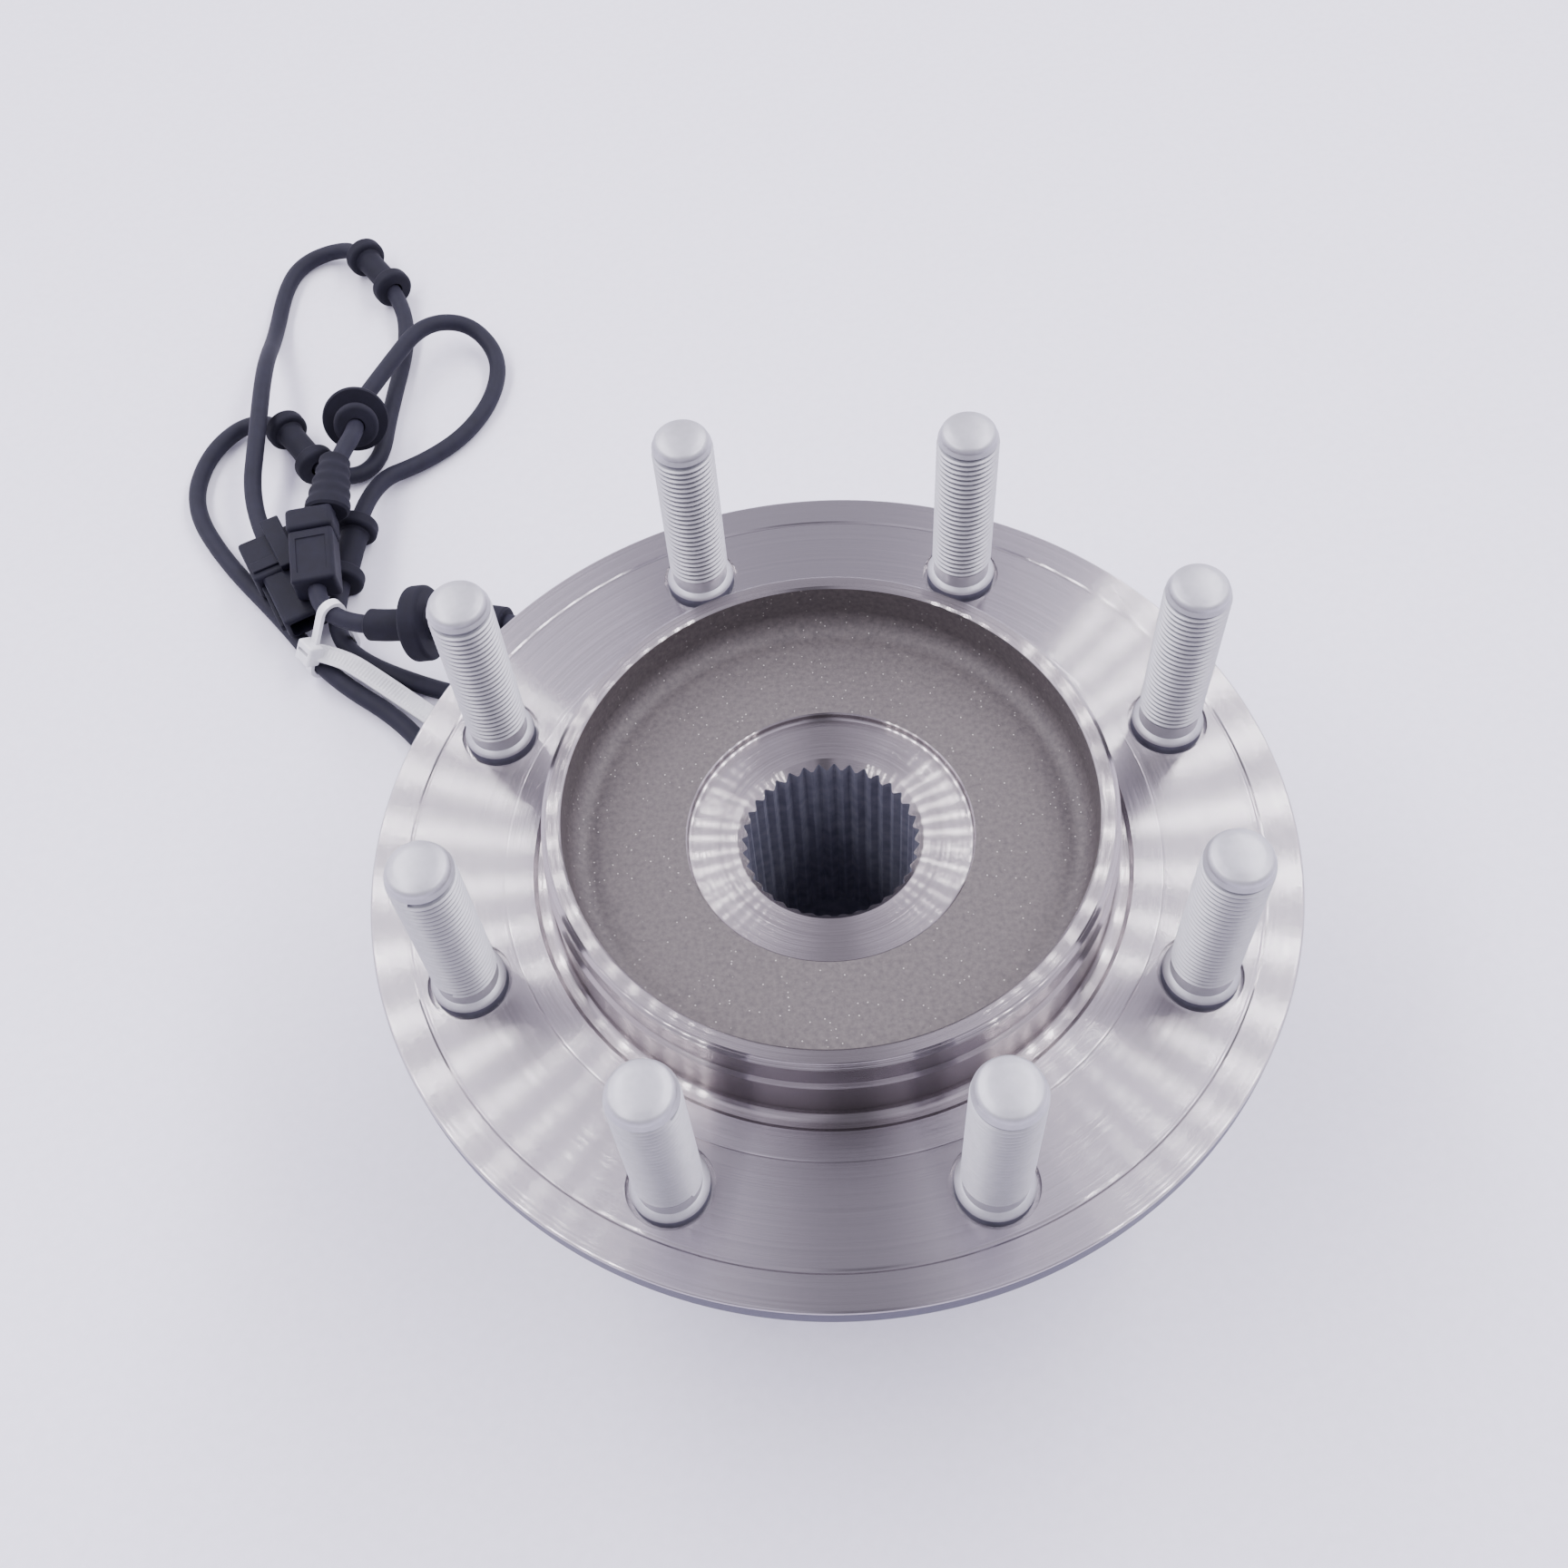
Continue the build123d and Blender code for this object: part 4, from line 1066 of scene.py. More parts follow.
    def fan_heading(self, spot: Vector) -> Vector:
        """Find how a strip lamp lies to light a whole radius of the flange at once.

        Args:
            spot: Middle of the lamp, in metres.

        Returns:
            Unit direction of its long side.
        """
        face = Vector(self.face_mm) * MM
        eye = (Vector(self.camera_mm) * MM - face).normalized()
        half = (eye + (spot - face).normalized()).normalized()
        radius = Vector((half.x, half.y, 0.0)).normalized()
        rays = []
        for lean in (-self.probe_rad, self.probe_rad):
            tilt = math.acos(half.z) + lean
            mirror = radius * math.sin(tilt) + UP * math.cos(tilt)
            rays.append(mirror * 2 * eye.dot(mirror) - eye)
        return (rays[1] - rays[0]).normalized()

    def hang_lamp(self, name: str, spot: Vector) -> None:
        """Hang one strip lamp that faces the hub.

        Args:
            name: Name of the lamp.
            spot: Where it hangs, in metres.
        """
        deselect_all()
        bpy.ops.object.light_add(type="AREA")
        lamp = bpy.context.active_object
        lamp.name = name
        lamp.data.shape = "RECTANGLE"
        lamp.data.size, lamp.data.size_y = self.lamp_size
        lamp.data.energy = self.lamp_watts
        away = (spot - Vector(self.face_mm) * MM).normalized()
        side = self.fan_heading(spot).cross(away).normalized()
        lamp.matrix_world = Matrix.Translation(spot) @ facing_turn(side, away.cross(side), away)


# ---------------------------------------------------------------------------
# Sensor lead and the pieces threaded on it
# ---------------------------------------------------------------------------


@dataclass
class SpeedSensorLead:
    """The lead from the wheel speed sensor to its connector, one smooth line.

    Attributes:
        route_mm: Control points of the line, from the sensor to the connector.
        line_steps: Steps of the line between two control points.
        round_steps: Steps of the jacket's round section.
        line: Points of the drawn line, in millimetres.
        obj: The lead itself.
    """

    jacket_mm: float = 5.5
    length_mm: float = 1109.8
    route_mm: Sequence[Point] = (
        (-46.0, 79.674, 34), (-67.5, 116.913, 34), (-143.5, 126.8, 18.6),
        (-141.5, 166.4, 22), (-139.6, 193, 22.3),
        (-133.5, 206.5, 22.5), (-138.5, 224.5, 12.5),
        (-128, 244, 13), (-117, 261.5, 14.5), (-102.5, 267, 8.5), (-92.5, 254, 4), (-94, 236, 3),
        (-103, 219, 3), (-117, 208, 3), (-133, 197, 7.2),
        (-139.5, 158, 7.0), (-141.5, 141, 4.5), (-134, 128, 4.5),
        (-114, 117, 3), (-92, 108, 3), (-72, 97, 3), (-62, 80, 3), (-66, 60, 3), (-83, 52, 3),
        (-99, 62, 3), (-104.5, 82, 3), (-118, 104, 3),
        (-141, 121.5, 5.2), (-158, 147, 3), (-179, 173.5, 3), (-192, 198, 3), (-189.5, 220, 3),
        (-177.5, 233, 4), (-163.5, 226.5, 7.2), (-150, 205.5, 7.0),
        (-139, 202.5, 4), (-131, 211, 3), (-129.5, 231, 3), (-124.2, 268, 3), (-128, 286, 6.9),
        (-143.5, 311.5, 6.9), (-154, 316, 4), (-165, 311.5, 3), (-170, 299, 3), (-171.5, 274, 3),
        (-168.5, 245, 17), (-168, 215, 17), (-169.92, 188.34, 11.0),
        (-162.6, 171.9, 11.0),
    )
    line_steps: int = 24
    round_steps: int = 6
    line: list[Vector] = field(default_factory=list)
    obj: bpy.types.Object | None = None

    def build(self) -> bpy.types.Object:
        """Draw the lead along its route and keep its line for the pieces on it.

        Returns:
            The lead.
        """
        self.obj = draw_line("sensor_lead_jacket", self.route_mm)
        drawn = self.obj.data
        drawn.resolution_u = self.line_steps
        bare = bpy.data.meshes.new_from_object(self.obj)
        self.line = [vertex.co / MM for vertex in bare.vertices]
        bpy.data.meshes.remove(bare)
        drawn.bevel_depth = self.jacket_mm / 2 * MM
        drawn.bevel_resolution = self.round_steps
        drawn.use_fill_caps = True
        dress(self.obj, LEAD_JACKET)
        return settle(self.obj, Body.HOUSING, Slot.RUBBER, "speed_sensor_lead")

    def spot(self, at: Spot) -> Vector:
        """Point at a share of a straight run of the route.

        Args:
            at: Number of the run and share of it.

        Returns:
            The point, in millimetres.
        """
        run, share = at
        return Vector(self.route_mm[run]).lerp(Vector(self.route_mm[run + 1]), share)

    def nearest(self, at: Spot) -> int:
        """Find the line's point nearest to a place of the route.

        Args:
            at: Number of the run and share of it.

        Returns:
            Its number, never that of an end point.
        """
        target = self.spot(at)
        return min(range(1, len(self.line) - 1), key=lambda i: (self.line[i] - target).length)

    def station(self, at: Spot) -> tuple[Vector, Vector]:
        """Find the lead's centre and heading at a place of the route.

        Args:
            at: Number of the run and share of it.

        Returns:
            Centre in millimetres and unit heading towards the connector.
        """
        index = self.nearest(at)
        return self.line[index], (self.line[index + 1] - self.line[index - 1]).normalized()

    def run_to(self, at: Spot) -> float:
        """Measure the lead from the sensor to a place of the route.

        Args:
            at: Number of the run and share of it.

        Returns:
            The length, in millimetres.
        """
        index = self.nearest(at)
        steps = zip(self.line[:index], self.line[1 : index + 1])
        return sum((after - before).length for before, after in steps)

    def bend(self, obj: bpy.types.Object) -> None:
        """Bend a piece along the lead, its height becoming length along the lead.

        Args:
            obj: The piece, turned about the Z axis.
        """
        guide = copy_piece(self.obj, "lead_guide")
        apply_modifier(obj, "CURVE", object=guide, deform_axis="POS_Z")
        bpy.data.objects.remove(guide, do_unlink=True)
        clean_shell(obj)

    def declare(self, pieces: Iterable[bpy.types.Object]) -> None:
        """Args:
            pieces: Grommets, splice, connector and tie; not used.
        """
        [value * MM for value in self.route_mm[0]]


@dataclass
class LeadGrommets:
    """Turned rubber grommets: three clips, a sleeve with its disc, and a domed one.

    Attributes:
        clips: Name of each clip grommet and its place on the lead's route.
        sleeve_at: Place of the sleeve grommet.
        dome_at: Place of the domed grommet.
        near_steps: Rings of the sleeve before its disc, so that it bends smoothly.
        far_steps: Rings of the sleeve after its disc.
        round_share: Largest share of a disc's thickness that its edge may round.
    """

    lead: SpeedSensorLead
    clips: Sequence[tuple[str, Spot]] = (
        ("lower", (14, 0.72)),
        ("left", (33, 0.5)),
        ("upper", (39, 0.5)),
    )
    sleeve_at: Spot = (1, 0.5)
    dome_at: Spot = (5, 0.42)
    bore_r: float = 2.75
    clip_disc_r: float = 6.7
    clip_disc_t: float = 4.8
    clip_neck_r: float = 4.2
    clip_pitch: float = 20.0
    clip_flare: Pair = (0.5, 0.7)
    sleeve_r: float = 4.7
    sleeve_half: float = 22.0
    sleeve_edge: float = 0.6
    sleeve_disc_r: float = 11.0
    sleeve_disc_t: float = 6.0
    sleeve_disc_shift: float = 5.0
    sleeve_flare: float = 0.8
    near_steps: int = 8
    far_steps: int = 6
    dome_r: float = 10.5
    dome_h: float = 6.5
    dome_top_wall: float = 1.2
    dome_skirt: float = 0.8
    dome_edge: float = 0.4
    dome_small_r: float = 7.0
    dome_small_t: float = 4.2
    dome_neck_r: float = 5.2
    dome_neck_l: float = 3.2
    dome_flare: Pair = (0.4, 0.5)
    round_mm: float = 1.3
    round_share: float = 0.45
    facets: int = 64

    def build(self) -> list[bpy.types.Object]:
        """Mould the five grommets on the lead.

        Returns:
            The grommets.
        """
        outline = self.clip_outline()
        clips = [self.mould(f"clip_grommet_{name}", outline, at) for name, at in self.clips]
        sleeve = self.mould_sleeve()
        dome = self.mould("dome_grommet", self.dome_outline(), self.dome_at)
        return [*clips, sleeve, dome]

    def mould(self, name: str, outline: Outline, at: Spot) -> bpy.types.Object:
        """Turn a grommet, set it on the lead and dress it.

        Args:
            name: CAD node it stands for.
            outline: Half outline along the lead.
            at: Its place on the lead's route.

        Returns:
            The grommet.
        """
        centre, heading = self.lead.station(at)
        obj = lathe(f"{name}_rubber", outline, steps=self.facets)
        place(obj, centre, heading, heading.cross(UP))
        return self.finish(obj, name)

    def mould_sleeve(self) -> bpy.types.Object:
        """Turn the sleeve grommet and bend it to the lead's line.

        Returns:
            The sleeve grommet.
        """
        middle = self.lead.run_to(self.sleeve_at)
        outline = [(radius, z + middle) for radius, z in self.sleeve_outline()]
        obj = lathe("sleeve_grommet_rubber", outline, steps=self.facets)
        self.lead.bend(obj)
        return self.finish(obj, "sleeve_grommet")

    def finish(self, obj: bpy.types.Object, name: str) -> bpy.types.Object:
        """Smooth and dress a grommet.

        Args:
            obj: The grommet.
            name: CAD node it stands for.

        Returns:
            The same grommet.
        """
        smooth(obj)
        dress(obj, MOULDED_RUBBER)
        return settle(obj, Body.HOUSING, Slot.RUBBER, name)

    def disc(self, radius: float, start: float, thick: float) -> Outline:
        """Outline the rim of a disc with rounded edges.

        Args:
            radius: Radius of the disc.
            start: Where it starts along the lead.
            thick: Its thickness.

        Returns:
            Points of the rim, from its start to its end.
        """
        edge = min(self.round_mm, thick * self.round_share)
        return [
            *arc((radius - edge, start + edge), edge, -90, 0, 4),
            *arc((radius - edge, start + thick - edge), edge, 0, 90, 4),
        ]

    def clip_outline(self) -> Outline:
        """Outline a clip grommet: two discs joined by a waisted neck.

        Returns:
            Its half outline, about its middle.
        """
        half = self.clip_pitch / 2
        reach = half + self.clip_disc_t / 2
        inner = half - self.clip_disc_t / 2
        flare_r, flare_l = self.clip_flare
        return [
            (self.bore_r, -reach),
            *self.disc(self.clip_disc_r, -reach, self.clip_disc_t),
            (self.clip_neck_r + flare_r, -inner),
            (self.clip_neck_r, -inner + flare_l),
            (self.clip_neck_r, inner - flare_l),
            (self.clip_neck_r + flare_r, inner),
            *self.disc(self.clip_disc_r, inner, self.clip_disc_t),
            (self.bore_r, reach),
        ]

    def sleeve_outline(self) -> Outline:
        """Outline the long sleeve with one disc, in steps short enough to bend.

        Returns:
            Its half outline, about its middle.
        """
        start = self.sleeve_disc_shift - self.sleeve_disc_t / 2
        low = -self.sleeve_half + self.sleeve_edge
        high = self.sleeve_half - self.sleeve_edge
        near = spread(low, start - self.sleeve_flare, self.near_steps)
        far = spread(start + self.sleeve_disc_t + self.sleeve_flare, high, self.far_steps)
        bore = spread(self.sleeve_half, -self.sleeve_half, self.near_steps + 2 * self.far_steps)
        return [
            (self.sleeve_r - self.sleeve_edge, -self.sleeve_half),
            *[(self.sleeve_r, z) for z in near],
            (self.sleeve_r + self.sleeve_flare, start),
            *self.disc(self.sleeve_disc_r, start, self.sleeve_disc_t),
            (self.sleeve_r + self.sleeve_flare, start + self.sleeve_disc_t),
            *[(self.sleeve_r, z) for z in far],
            (self.sleeve_r - self.sleeve_edge, self.sleeve_half),
            *[(self.bore_r, z) for z in bore],
        ]

    def dome_outline(self) -> Outline:
        """Outline the domed grommet with its small disc and neck.

        Returns:
            Its half outline, about the middle of its neck.
        """
        start = self.dome_neck_l / 2
        top_r = self.bore_r + self.dome_top_wall
        height = self.dome_h - self.dome_skirt
        crown = [
            (
                top_r + (self.dome_r - top_r) * math.cos(turn),
                start + self.dome_skirt + height * math.sin(turn),
            )
            for turn in [math.radians(angle) for angle in range(0, 91, 10)]
        ]
        flare_r, flare_l = self.dome_flare
        return [
            (self.bore_r, -start - self.dome_small_t),
            *self.disc(self.dome_small_r, -start - self.dome_small_t, self.dome_small_t),
            (self.dome_neck_r + flare_r, -start),
            (self.dome_neck_r, -start + flare_l),
            (self.dome_neck_r, start),
            (self.dome_r - self.dome_edge, start),
            *crown,
            (self.bore_r, start + self.dome_h),
        ]


@dataclass
class Splice:
    """Moulded splice block with its collar, and the tapered boot beyond it.

    Attributes:
        block_at: Where the block starts on the lead's route.
        boot_at: Where the boot starts.
        boot_land: Straight length at the boot's base, before its rings.
        boot_rings: Number of shallow rings on the boot.
    """

    lead: SpeedSensorLead
    block_at: Spot = (2, 0.425)
    boot_at: Spot = (3, 0.23)
    block_mm: Point = (13.5, 10.0, 20.0)
    block_round: float = 1.3
    panel_mm: Point = (9.0, 0.8, 13.0)
    panel_round: float = 0.3
    collar_mm: Point = (14.4, 11.0, 8.5)
    collar_round: float = 1.6
    bore_r: float = 2.75
    boot_l: float = 21.0
    boot_base: Pair = (14.0, 10.4)
    boot_edge: float = 0.8
    boot_land: float = 3.0
    boot_tip_r: float = 4.8
    boot_tip_edge: float = 0.6
    boot_rings: int = 4
    boot_ring_h: float = 0.45
    ring_steps: int = 6
    press_gap: float = 0.25
    facets: int = 64

    def build(self) -> list[bpy.types.Object]:
        """Mould the block and the boot along the lead.

        Returns:
            The two pieces.
        """
        return [self.build_block(), self.build_boot()]

    def build_block(self) -> bpy.types.Object:
        """Mould block and collar, with the shallow panel pressed into the top face.

        Returns:
            The splice block.
        """
        depth, length = self.block_mm[1:]
        body = block("splice_body", self.block_mm, (0, 0, length / 2), self.block_round)
        panel_at = (0, -depth / 2, length / 2)
        cut(body, block("splice_panel", self.panel_mm, panel_at, self.panel_round))
        collar_z = length + self.collar_mm[2] / 2
        collar = block("splice_collar", self.collar_mm, (0, 0, collar_z), self.collar_round)
        obj = join("splice_block_nylon", [body, collar])
        start, heading = self.lead.station(self.block_at)
        place(obj, start, heading, heading.cross(UP))
        smooth(obj)
        dress(obj, BLACK_NYLON)
        return settle(obj, Body.HOUSING, Slot.NYLON, "splice_block")

    def boot_outline(self) -> Outline:
        """Outline the tapered boot with its shallow rings.

        Returns:
            Its half outline, from its base.
        """
        base_r = self.boot_base[0] / 2
        points = [
            (self.bore_r, 0.0),
            (base_r - self.boot_edge, 0.0),
            (base_r, self.boot_edge),
            (base_r, self.boot_land),
        ]
        taper_l = self.boot_l - self.boot_land - self.boot_edge
        steps = self.ring_steps * self.boot_rings
        for step in range(1, steps + 1):
            share = step / steps
            radius = base_r + (self.boot_tip_r - base_r) * share
            hollow = self.boot_ring_h * math.sin(math.pi * share * self.boot_rings) ** 2
            points.append((radius - hollow, self.boot_land + taper_l * share))
        tip = [(self.boot_tip_r - self.boot_tip_edge, self.boot_l), (self.bore_r, self.boot_l)]
        return [*points, *tip]

    def build_boot(self) -> bpy.types.Object:
        """Mould the boot, oval at the splice and round at its tip.

        Returns:
            The boot.
        """
        obj = lathe("splice_boot_rubber", self.boot_outline(), steps=self.facets)
        self.flatten_base(obj)
        start, heading = self.lead.station(self.boot_at)
        place(obj, start, heading, heading.cross(UP))
        smooth(obj)
        dress(obj, MOULDED_RUBBER)
        return settle(obj, Body.HOUSING, Slot.RUBBER, "splice_boot")

    def flatten_base(self, obj: bpy.types.Object) -> None:
        """Press the boot's base oval, ring by ring, leaving its tip and its bore round.

        Args:
            obj: The boot, still upright at the origin.
        """
        flat = self.boot_base[1] / self.boot_base[0]
        for vertex in obj.data.vertices:
            share = min(max(vertex.co.z / MM / self.boot_l, 0.0), 1.0)
            if math.hypot(vertex.co.x, vertex.co.y) / MM > self.bore_r + self.press_gap:
                vertex.co.y *= flat + (1 - flat) * share


@dataclass
class LeadConnector:
    """Connector at the lead's end: head with its latch, nose with an open mouth, two pins.

    Attributes:
        nose_overlap: How far the nose reaches into the head.
        latch_sink: How far the latch arm stands off the head's top face.
        step_mm: Ledge across the head that the latch arm rests on.
    """

    lead: SpeedSensorLead
    head_mm: Point = (17.6, 9.6, 17.0)
    head_round: float = 1.2
    nose_mm: Point = (12.6, 8.0, 20.0)
    nose_round: float = 1.3
    nose_overlap: float = 2.0
    wall: float = 1.4
    pocket_l: float = 15.0
    pocket_round: float = 0.8
    latch_mm: Point = (6.0, 2.4, 21.0)
    latch_round: float = 0.5
    latch_back: float = 3.2
    latch_offset: float = 3.2
    latch_sink: float = 0.8
    step_mm: Point = (14.6, 1.0, 4.0)
    step_round: float = 0.35
    step_x: float = 0.6
    step_sink: float = 0.3
    step_back: float = 4.5
    rail_mm: Point = (1.3, 2.4, 18.0)
    rail_round: float = 0.4
    rail_sink: float = 0.1
    pin_r: float = 0.75
    pin_pitch: float = 4.0
    pin_l: float = 9.0
    pin_tip_l: float = 0.8
    pin_tip_share: float = 0.5
    pin_facets: int = 16
    heading_deg: float = -66.0

    def build(self) -> list[bpy.types.Object]:
        """Mould the housing and set the pins in it.

        Returns:
            The two pieces.
        """
        return [self.build_housing(), self.build_pins()]

    def set_on_lead(self, obj: bpy.types.Object) -> None:
        """Put a piece made upright at the origin at the lead's end, along the connector.

        Args:
            obj: The piece.
        """
        turn = math.radians(self.heading_deg)
        heading = Vector((math.cos(turn), math.sin(turn), 0))
        place(obj, self.lead.route_mm[-1], heading, heading.cross(UP))
        smooth(obj)

    def build_housing(self) -> bpy.types.Object:
        """Mould head, nose with its pocket, and the latch parts.

        Returns:
            The connector's housing.
        """
        wide, deep, long = self.nose_mm
        back = self.head_mm[2]
        head = block("connector_head", self.head_mm, (0, 0, back / 2), self.head_round)
        nose_size = (wide, deep, long + self.nose_overlap)
        nose_z = back + long / 2 - self.nose_overlap / 2
        nose = block("connector_nose", nose_size, (0, 0, nose_z), self.nose_round)
        pocket_size = (wide - 2 * self.wall, deep - 2 * self.wall, self.pocket_l * 2)
        cut(nose, block("pocket", pocket_size, (0, 0, back + long), self.pocket_round))
        obj = join("connector_housing_nylon", [head, nose, *self.latch_parts()])
        self.set_on_lead(obj)
        dress(obj, BLACK_NYLON)
        return settle(obj, Body.HOUSING, Slot.NYLON, "connector_housing")

    def latch_parts(self) -> list[bpy.types.Object]:
        """Mould the latch arm, the ledge it rests on, and the rail beside the nose.

        Returns:
            The three parts.
        """
        top = -self.head_mm[1] / 2
        back = self.head_mm[2]
        arm_at = (-self.latch_offset, top - self.latch_sink, self.latch_mm[2] / 2 - self.latch_back)
        step_at = (self.step_x, top - self.step_sink, back - self.step_back)
        rail_x = (self.nose_mm[0] + self.rail_mm[0]) / 2 - self.rail_sink
        rail_at = (rail_x, 0, back + self.rail_mm[2] / 2)
        return [
            block("latch_arm", self.latch_mm, arm_at, self.latch_round),
            block("latch_step", self.step_mm, step_at, self.step_round),
            block("nose_rail", self.rail_mm, rail_at, self.rail_round),
        ]

    def build_pins(self) -> bpy.types.Object:
        """Turn two round contact pins with tapered tips.

        Returns:
            Both pins as one piece.
        """
        start = self.head_mm[2] + self.nose_mm[2] - self.pocket_l
        outline = [
            (0, 0),
            (self.pin_r, 0),
            (self.pin_r, self.pin_l - self.pin_tip_l),
            (self.pin_r * self.pin_tip_share, self.pin_l),
            (0, self.pin_l),
        ]
        first = lathe("pin", outline, steps=self.pin_facets, closed=False)
        second = copy_piece(first, "pin_two")
        for pin, side in ((first, -0.5), (second, 0.5)):
            pin.location = (side * self.pin_pitch * MM, 0, start * MM)
            apply_place(pin)
        obj = join("connector_contact_pins", [first, second])
        self.set_on_lead(obj)
        dress(obj, TIN_PLATE)
        return settle(obj, Body.HOUSING, Slot.TINNED, "connector_pins")


# ---------------------------------------------------------------------------
# Wheel hub and studs
# ---------------------------------------------------------------------------


class HubZone(IntEnum):
    """Machined and forged zones of the hub, in the order of their finishes."""

    TURNED = 0
    FINE_TURNED = 1
    FORGED = 2
    BROACHED = 3
    PILOT_WALL = 4
    # The flange's side wall, whose darker finish is painted shade.
    RIM = 5


@dataclass
class WheelHub:
    """Flange, pilot, splined bore and spindle, machined from one forging.

    Attributes:
        groove_floor_half: Half width of the flange groove's floor.
        inner_line_r: Radius of the fine line turned inside the studs.
        relief_r: Outer radius of the undercut at the pilot's foot.
        spline_sink: How far a tooth space reaches into the bore, so that it cuts clean.
        spline_mouth_half: Half width of a tooth space there.
        spline_floor_half: Half width of its floor.
        mouth_r: Radius of the relief round each stud.
        bore_margin: Reach of the broached zone past the splines, and the share of the bore's
            chamfer that stays out of it.
        spot_margin: Reach of the spot face's zone past its wall.
        cup_margin: Reach of the forged zone outwards and below the cup's floor.
        rim_margin: Reach of the rim's zone inwards, and the share of the rim's chamfer that
            stays out of it.
        wall_margin: How far the pilot wall's zone starts inside its radius, above the face
            and below the top.
        foot_margin: How far the foot's zone ends inside the undercut and below the face.
    """

    face_z: float = 86.0
    flange_r: float = 101.3
    back_z: float = 71.0
    rim_t: float = 5.2
    rim_edge: Pair = (0.3, 0.2)
    rim_chamfer: float = 0.8
    stud_seat_r: float = 94.6
    stud_seat_edge: Pair = (0.6, 0.5)
    groove_r: float = 93.3
    groove_w: float = 1.1
    groove_depth: float = 0.26
    groove_floor_half: float = 0.15
    inner_line_r: float = 71.7
    inner_line_half: float = 0.35
    inner_line_depth: float = 0.12
    wheel_pilot_r: float = 60.55
    disc_pilot_r: float = 61.4
    disc_pilot_h: float = 12.5
    pilot_h: float = 19.9
    pilot_chamfer: float = 1.2
    pilot_bore_r: float = 56.4
    pilot_bore_edge: float = 0.5
    relief_r: float = 64.6
    relief_depth: float = 0.9
    foot_fillet: float = 2.2
    cup_floor_z: float = 92.7
    cup_fillet: float = 5.0
    cup_step_r: float = 47.5
    cup_step_h: float = 0.35
    cup_step_half: float = 0.8
    spot_face_r: float = 31.0
    spot_face_z: float = 90.4
    spot_edge: float = 0.3
    spot_fillet: float = 0.8
    spline_teeth: int = 35
    spline_minor_r: float = 18.3
    spline_major_r: float = 19.3
    spline_sink: float = 0.15
    spline_mouth_half: float = 1.5
    spline_floor_half: float = 0.18
    spline_bottom_z: float = 28.4
    spline_over: Pair = (2.0, 1.0)
    bore_chamfer: float = 1.9
    tail_bore_r: float = 19.8
    tail_chamfer: float = 2.5
    lip_r: float = 40.0
    lip_z: float = 0.81
    lip_round: float = 1.8
    spindle_r: float = 33.0
    cone_back_low_z: float = 5.21
    cone_back_high_z: float = 62.79
    shoulder_r: float = 42.0
    shoulder_fillet: float = 2.5
    mouth_r: float = 9.0
    mouth_depth: float = 1.6
    facets: int = 280
    mouth_facets: int = 64
    crisp_deg: float = 28.0
    bore_margin: Pair = (0.5, 0.8)
    spot_margin: float = 0.4
    cup_margin: Pair = (0.2, 0.5)
    rim_margin: Pair = (0.4, 0.5)
    wall_margin: Point = (0.3, 2.0, 1.0)
    foot_margin: Pair = (0.2, 1.0)

    def build(self, stud_places: Sequence[Pair]) -> bpy.types.Object:
        """Turn the forging, cut the splines and the relief round each stud, and dress it.

        Args:
            stud_places: (x, y) of the studs in millimetres.

        Returns:
            The hub.
        """
        outline = [*self.spindle_outline(), *self.flange_outline(), *self.pilot_outline()]
        obj = lathe("wheel_hub_forging", [*outline, *self.bore_outline()], steps=self.facets)
        cut(obj, self.spline_cutter())
        cut(obj, self.mouth_cutter(stud_places))
        smooth(obj, self.crisp_deg)
        finishes = {
            HubZone.TURNED: TURNED_FACE,
            HubZone.FINE_TURNED: FINE_TURNED,
            HubZone.FORGED: FORGING_SKIN,
            HubZone.BROACHED: BROACHED,
            HubZone.PILOT_WALL: PILOT_WALL,
            HubZone.RIM: FLANGE_RIM_SHADE,
        }
        dress_zones(obj, [finishes[zone] for zone in HubZone], self.zone)
        return settle(obj, Body.HUB, Slot.FORGED, "wheel_hub")

    def spindle_outline(self) -> Outline:
        """Outline the tail bore's mouth, the formed lip, the spindle and its shoulder.

        Returns:
            Points up to the flange's back.
        """
        lip_corner = (self.lip_r - self.lip_round, self.lip_z + self.lip_round)
        fillet = self.shoulder_fillet
        return [
            (self.tail_bore_r, self.lip_z + self.tail_chamfer),
            (self.tail_bore_r + self.tail_chamfer, self.lip_z),
            *arc(lip_corner, self.lip_round, -90, 0, 6),
            (self.lip_r, self.cone_back_low_z),
            (self.spindle_r, self.cone_back_low_z),
            (self.spindle_r, self.cone_back_high_z),
            (self.shoulder_r, self.cone_back_high_z),
            *arc((self.shoulder_r + fillet, self.back_z - fillet), fillet, 180, 90, 6),
        ]

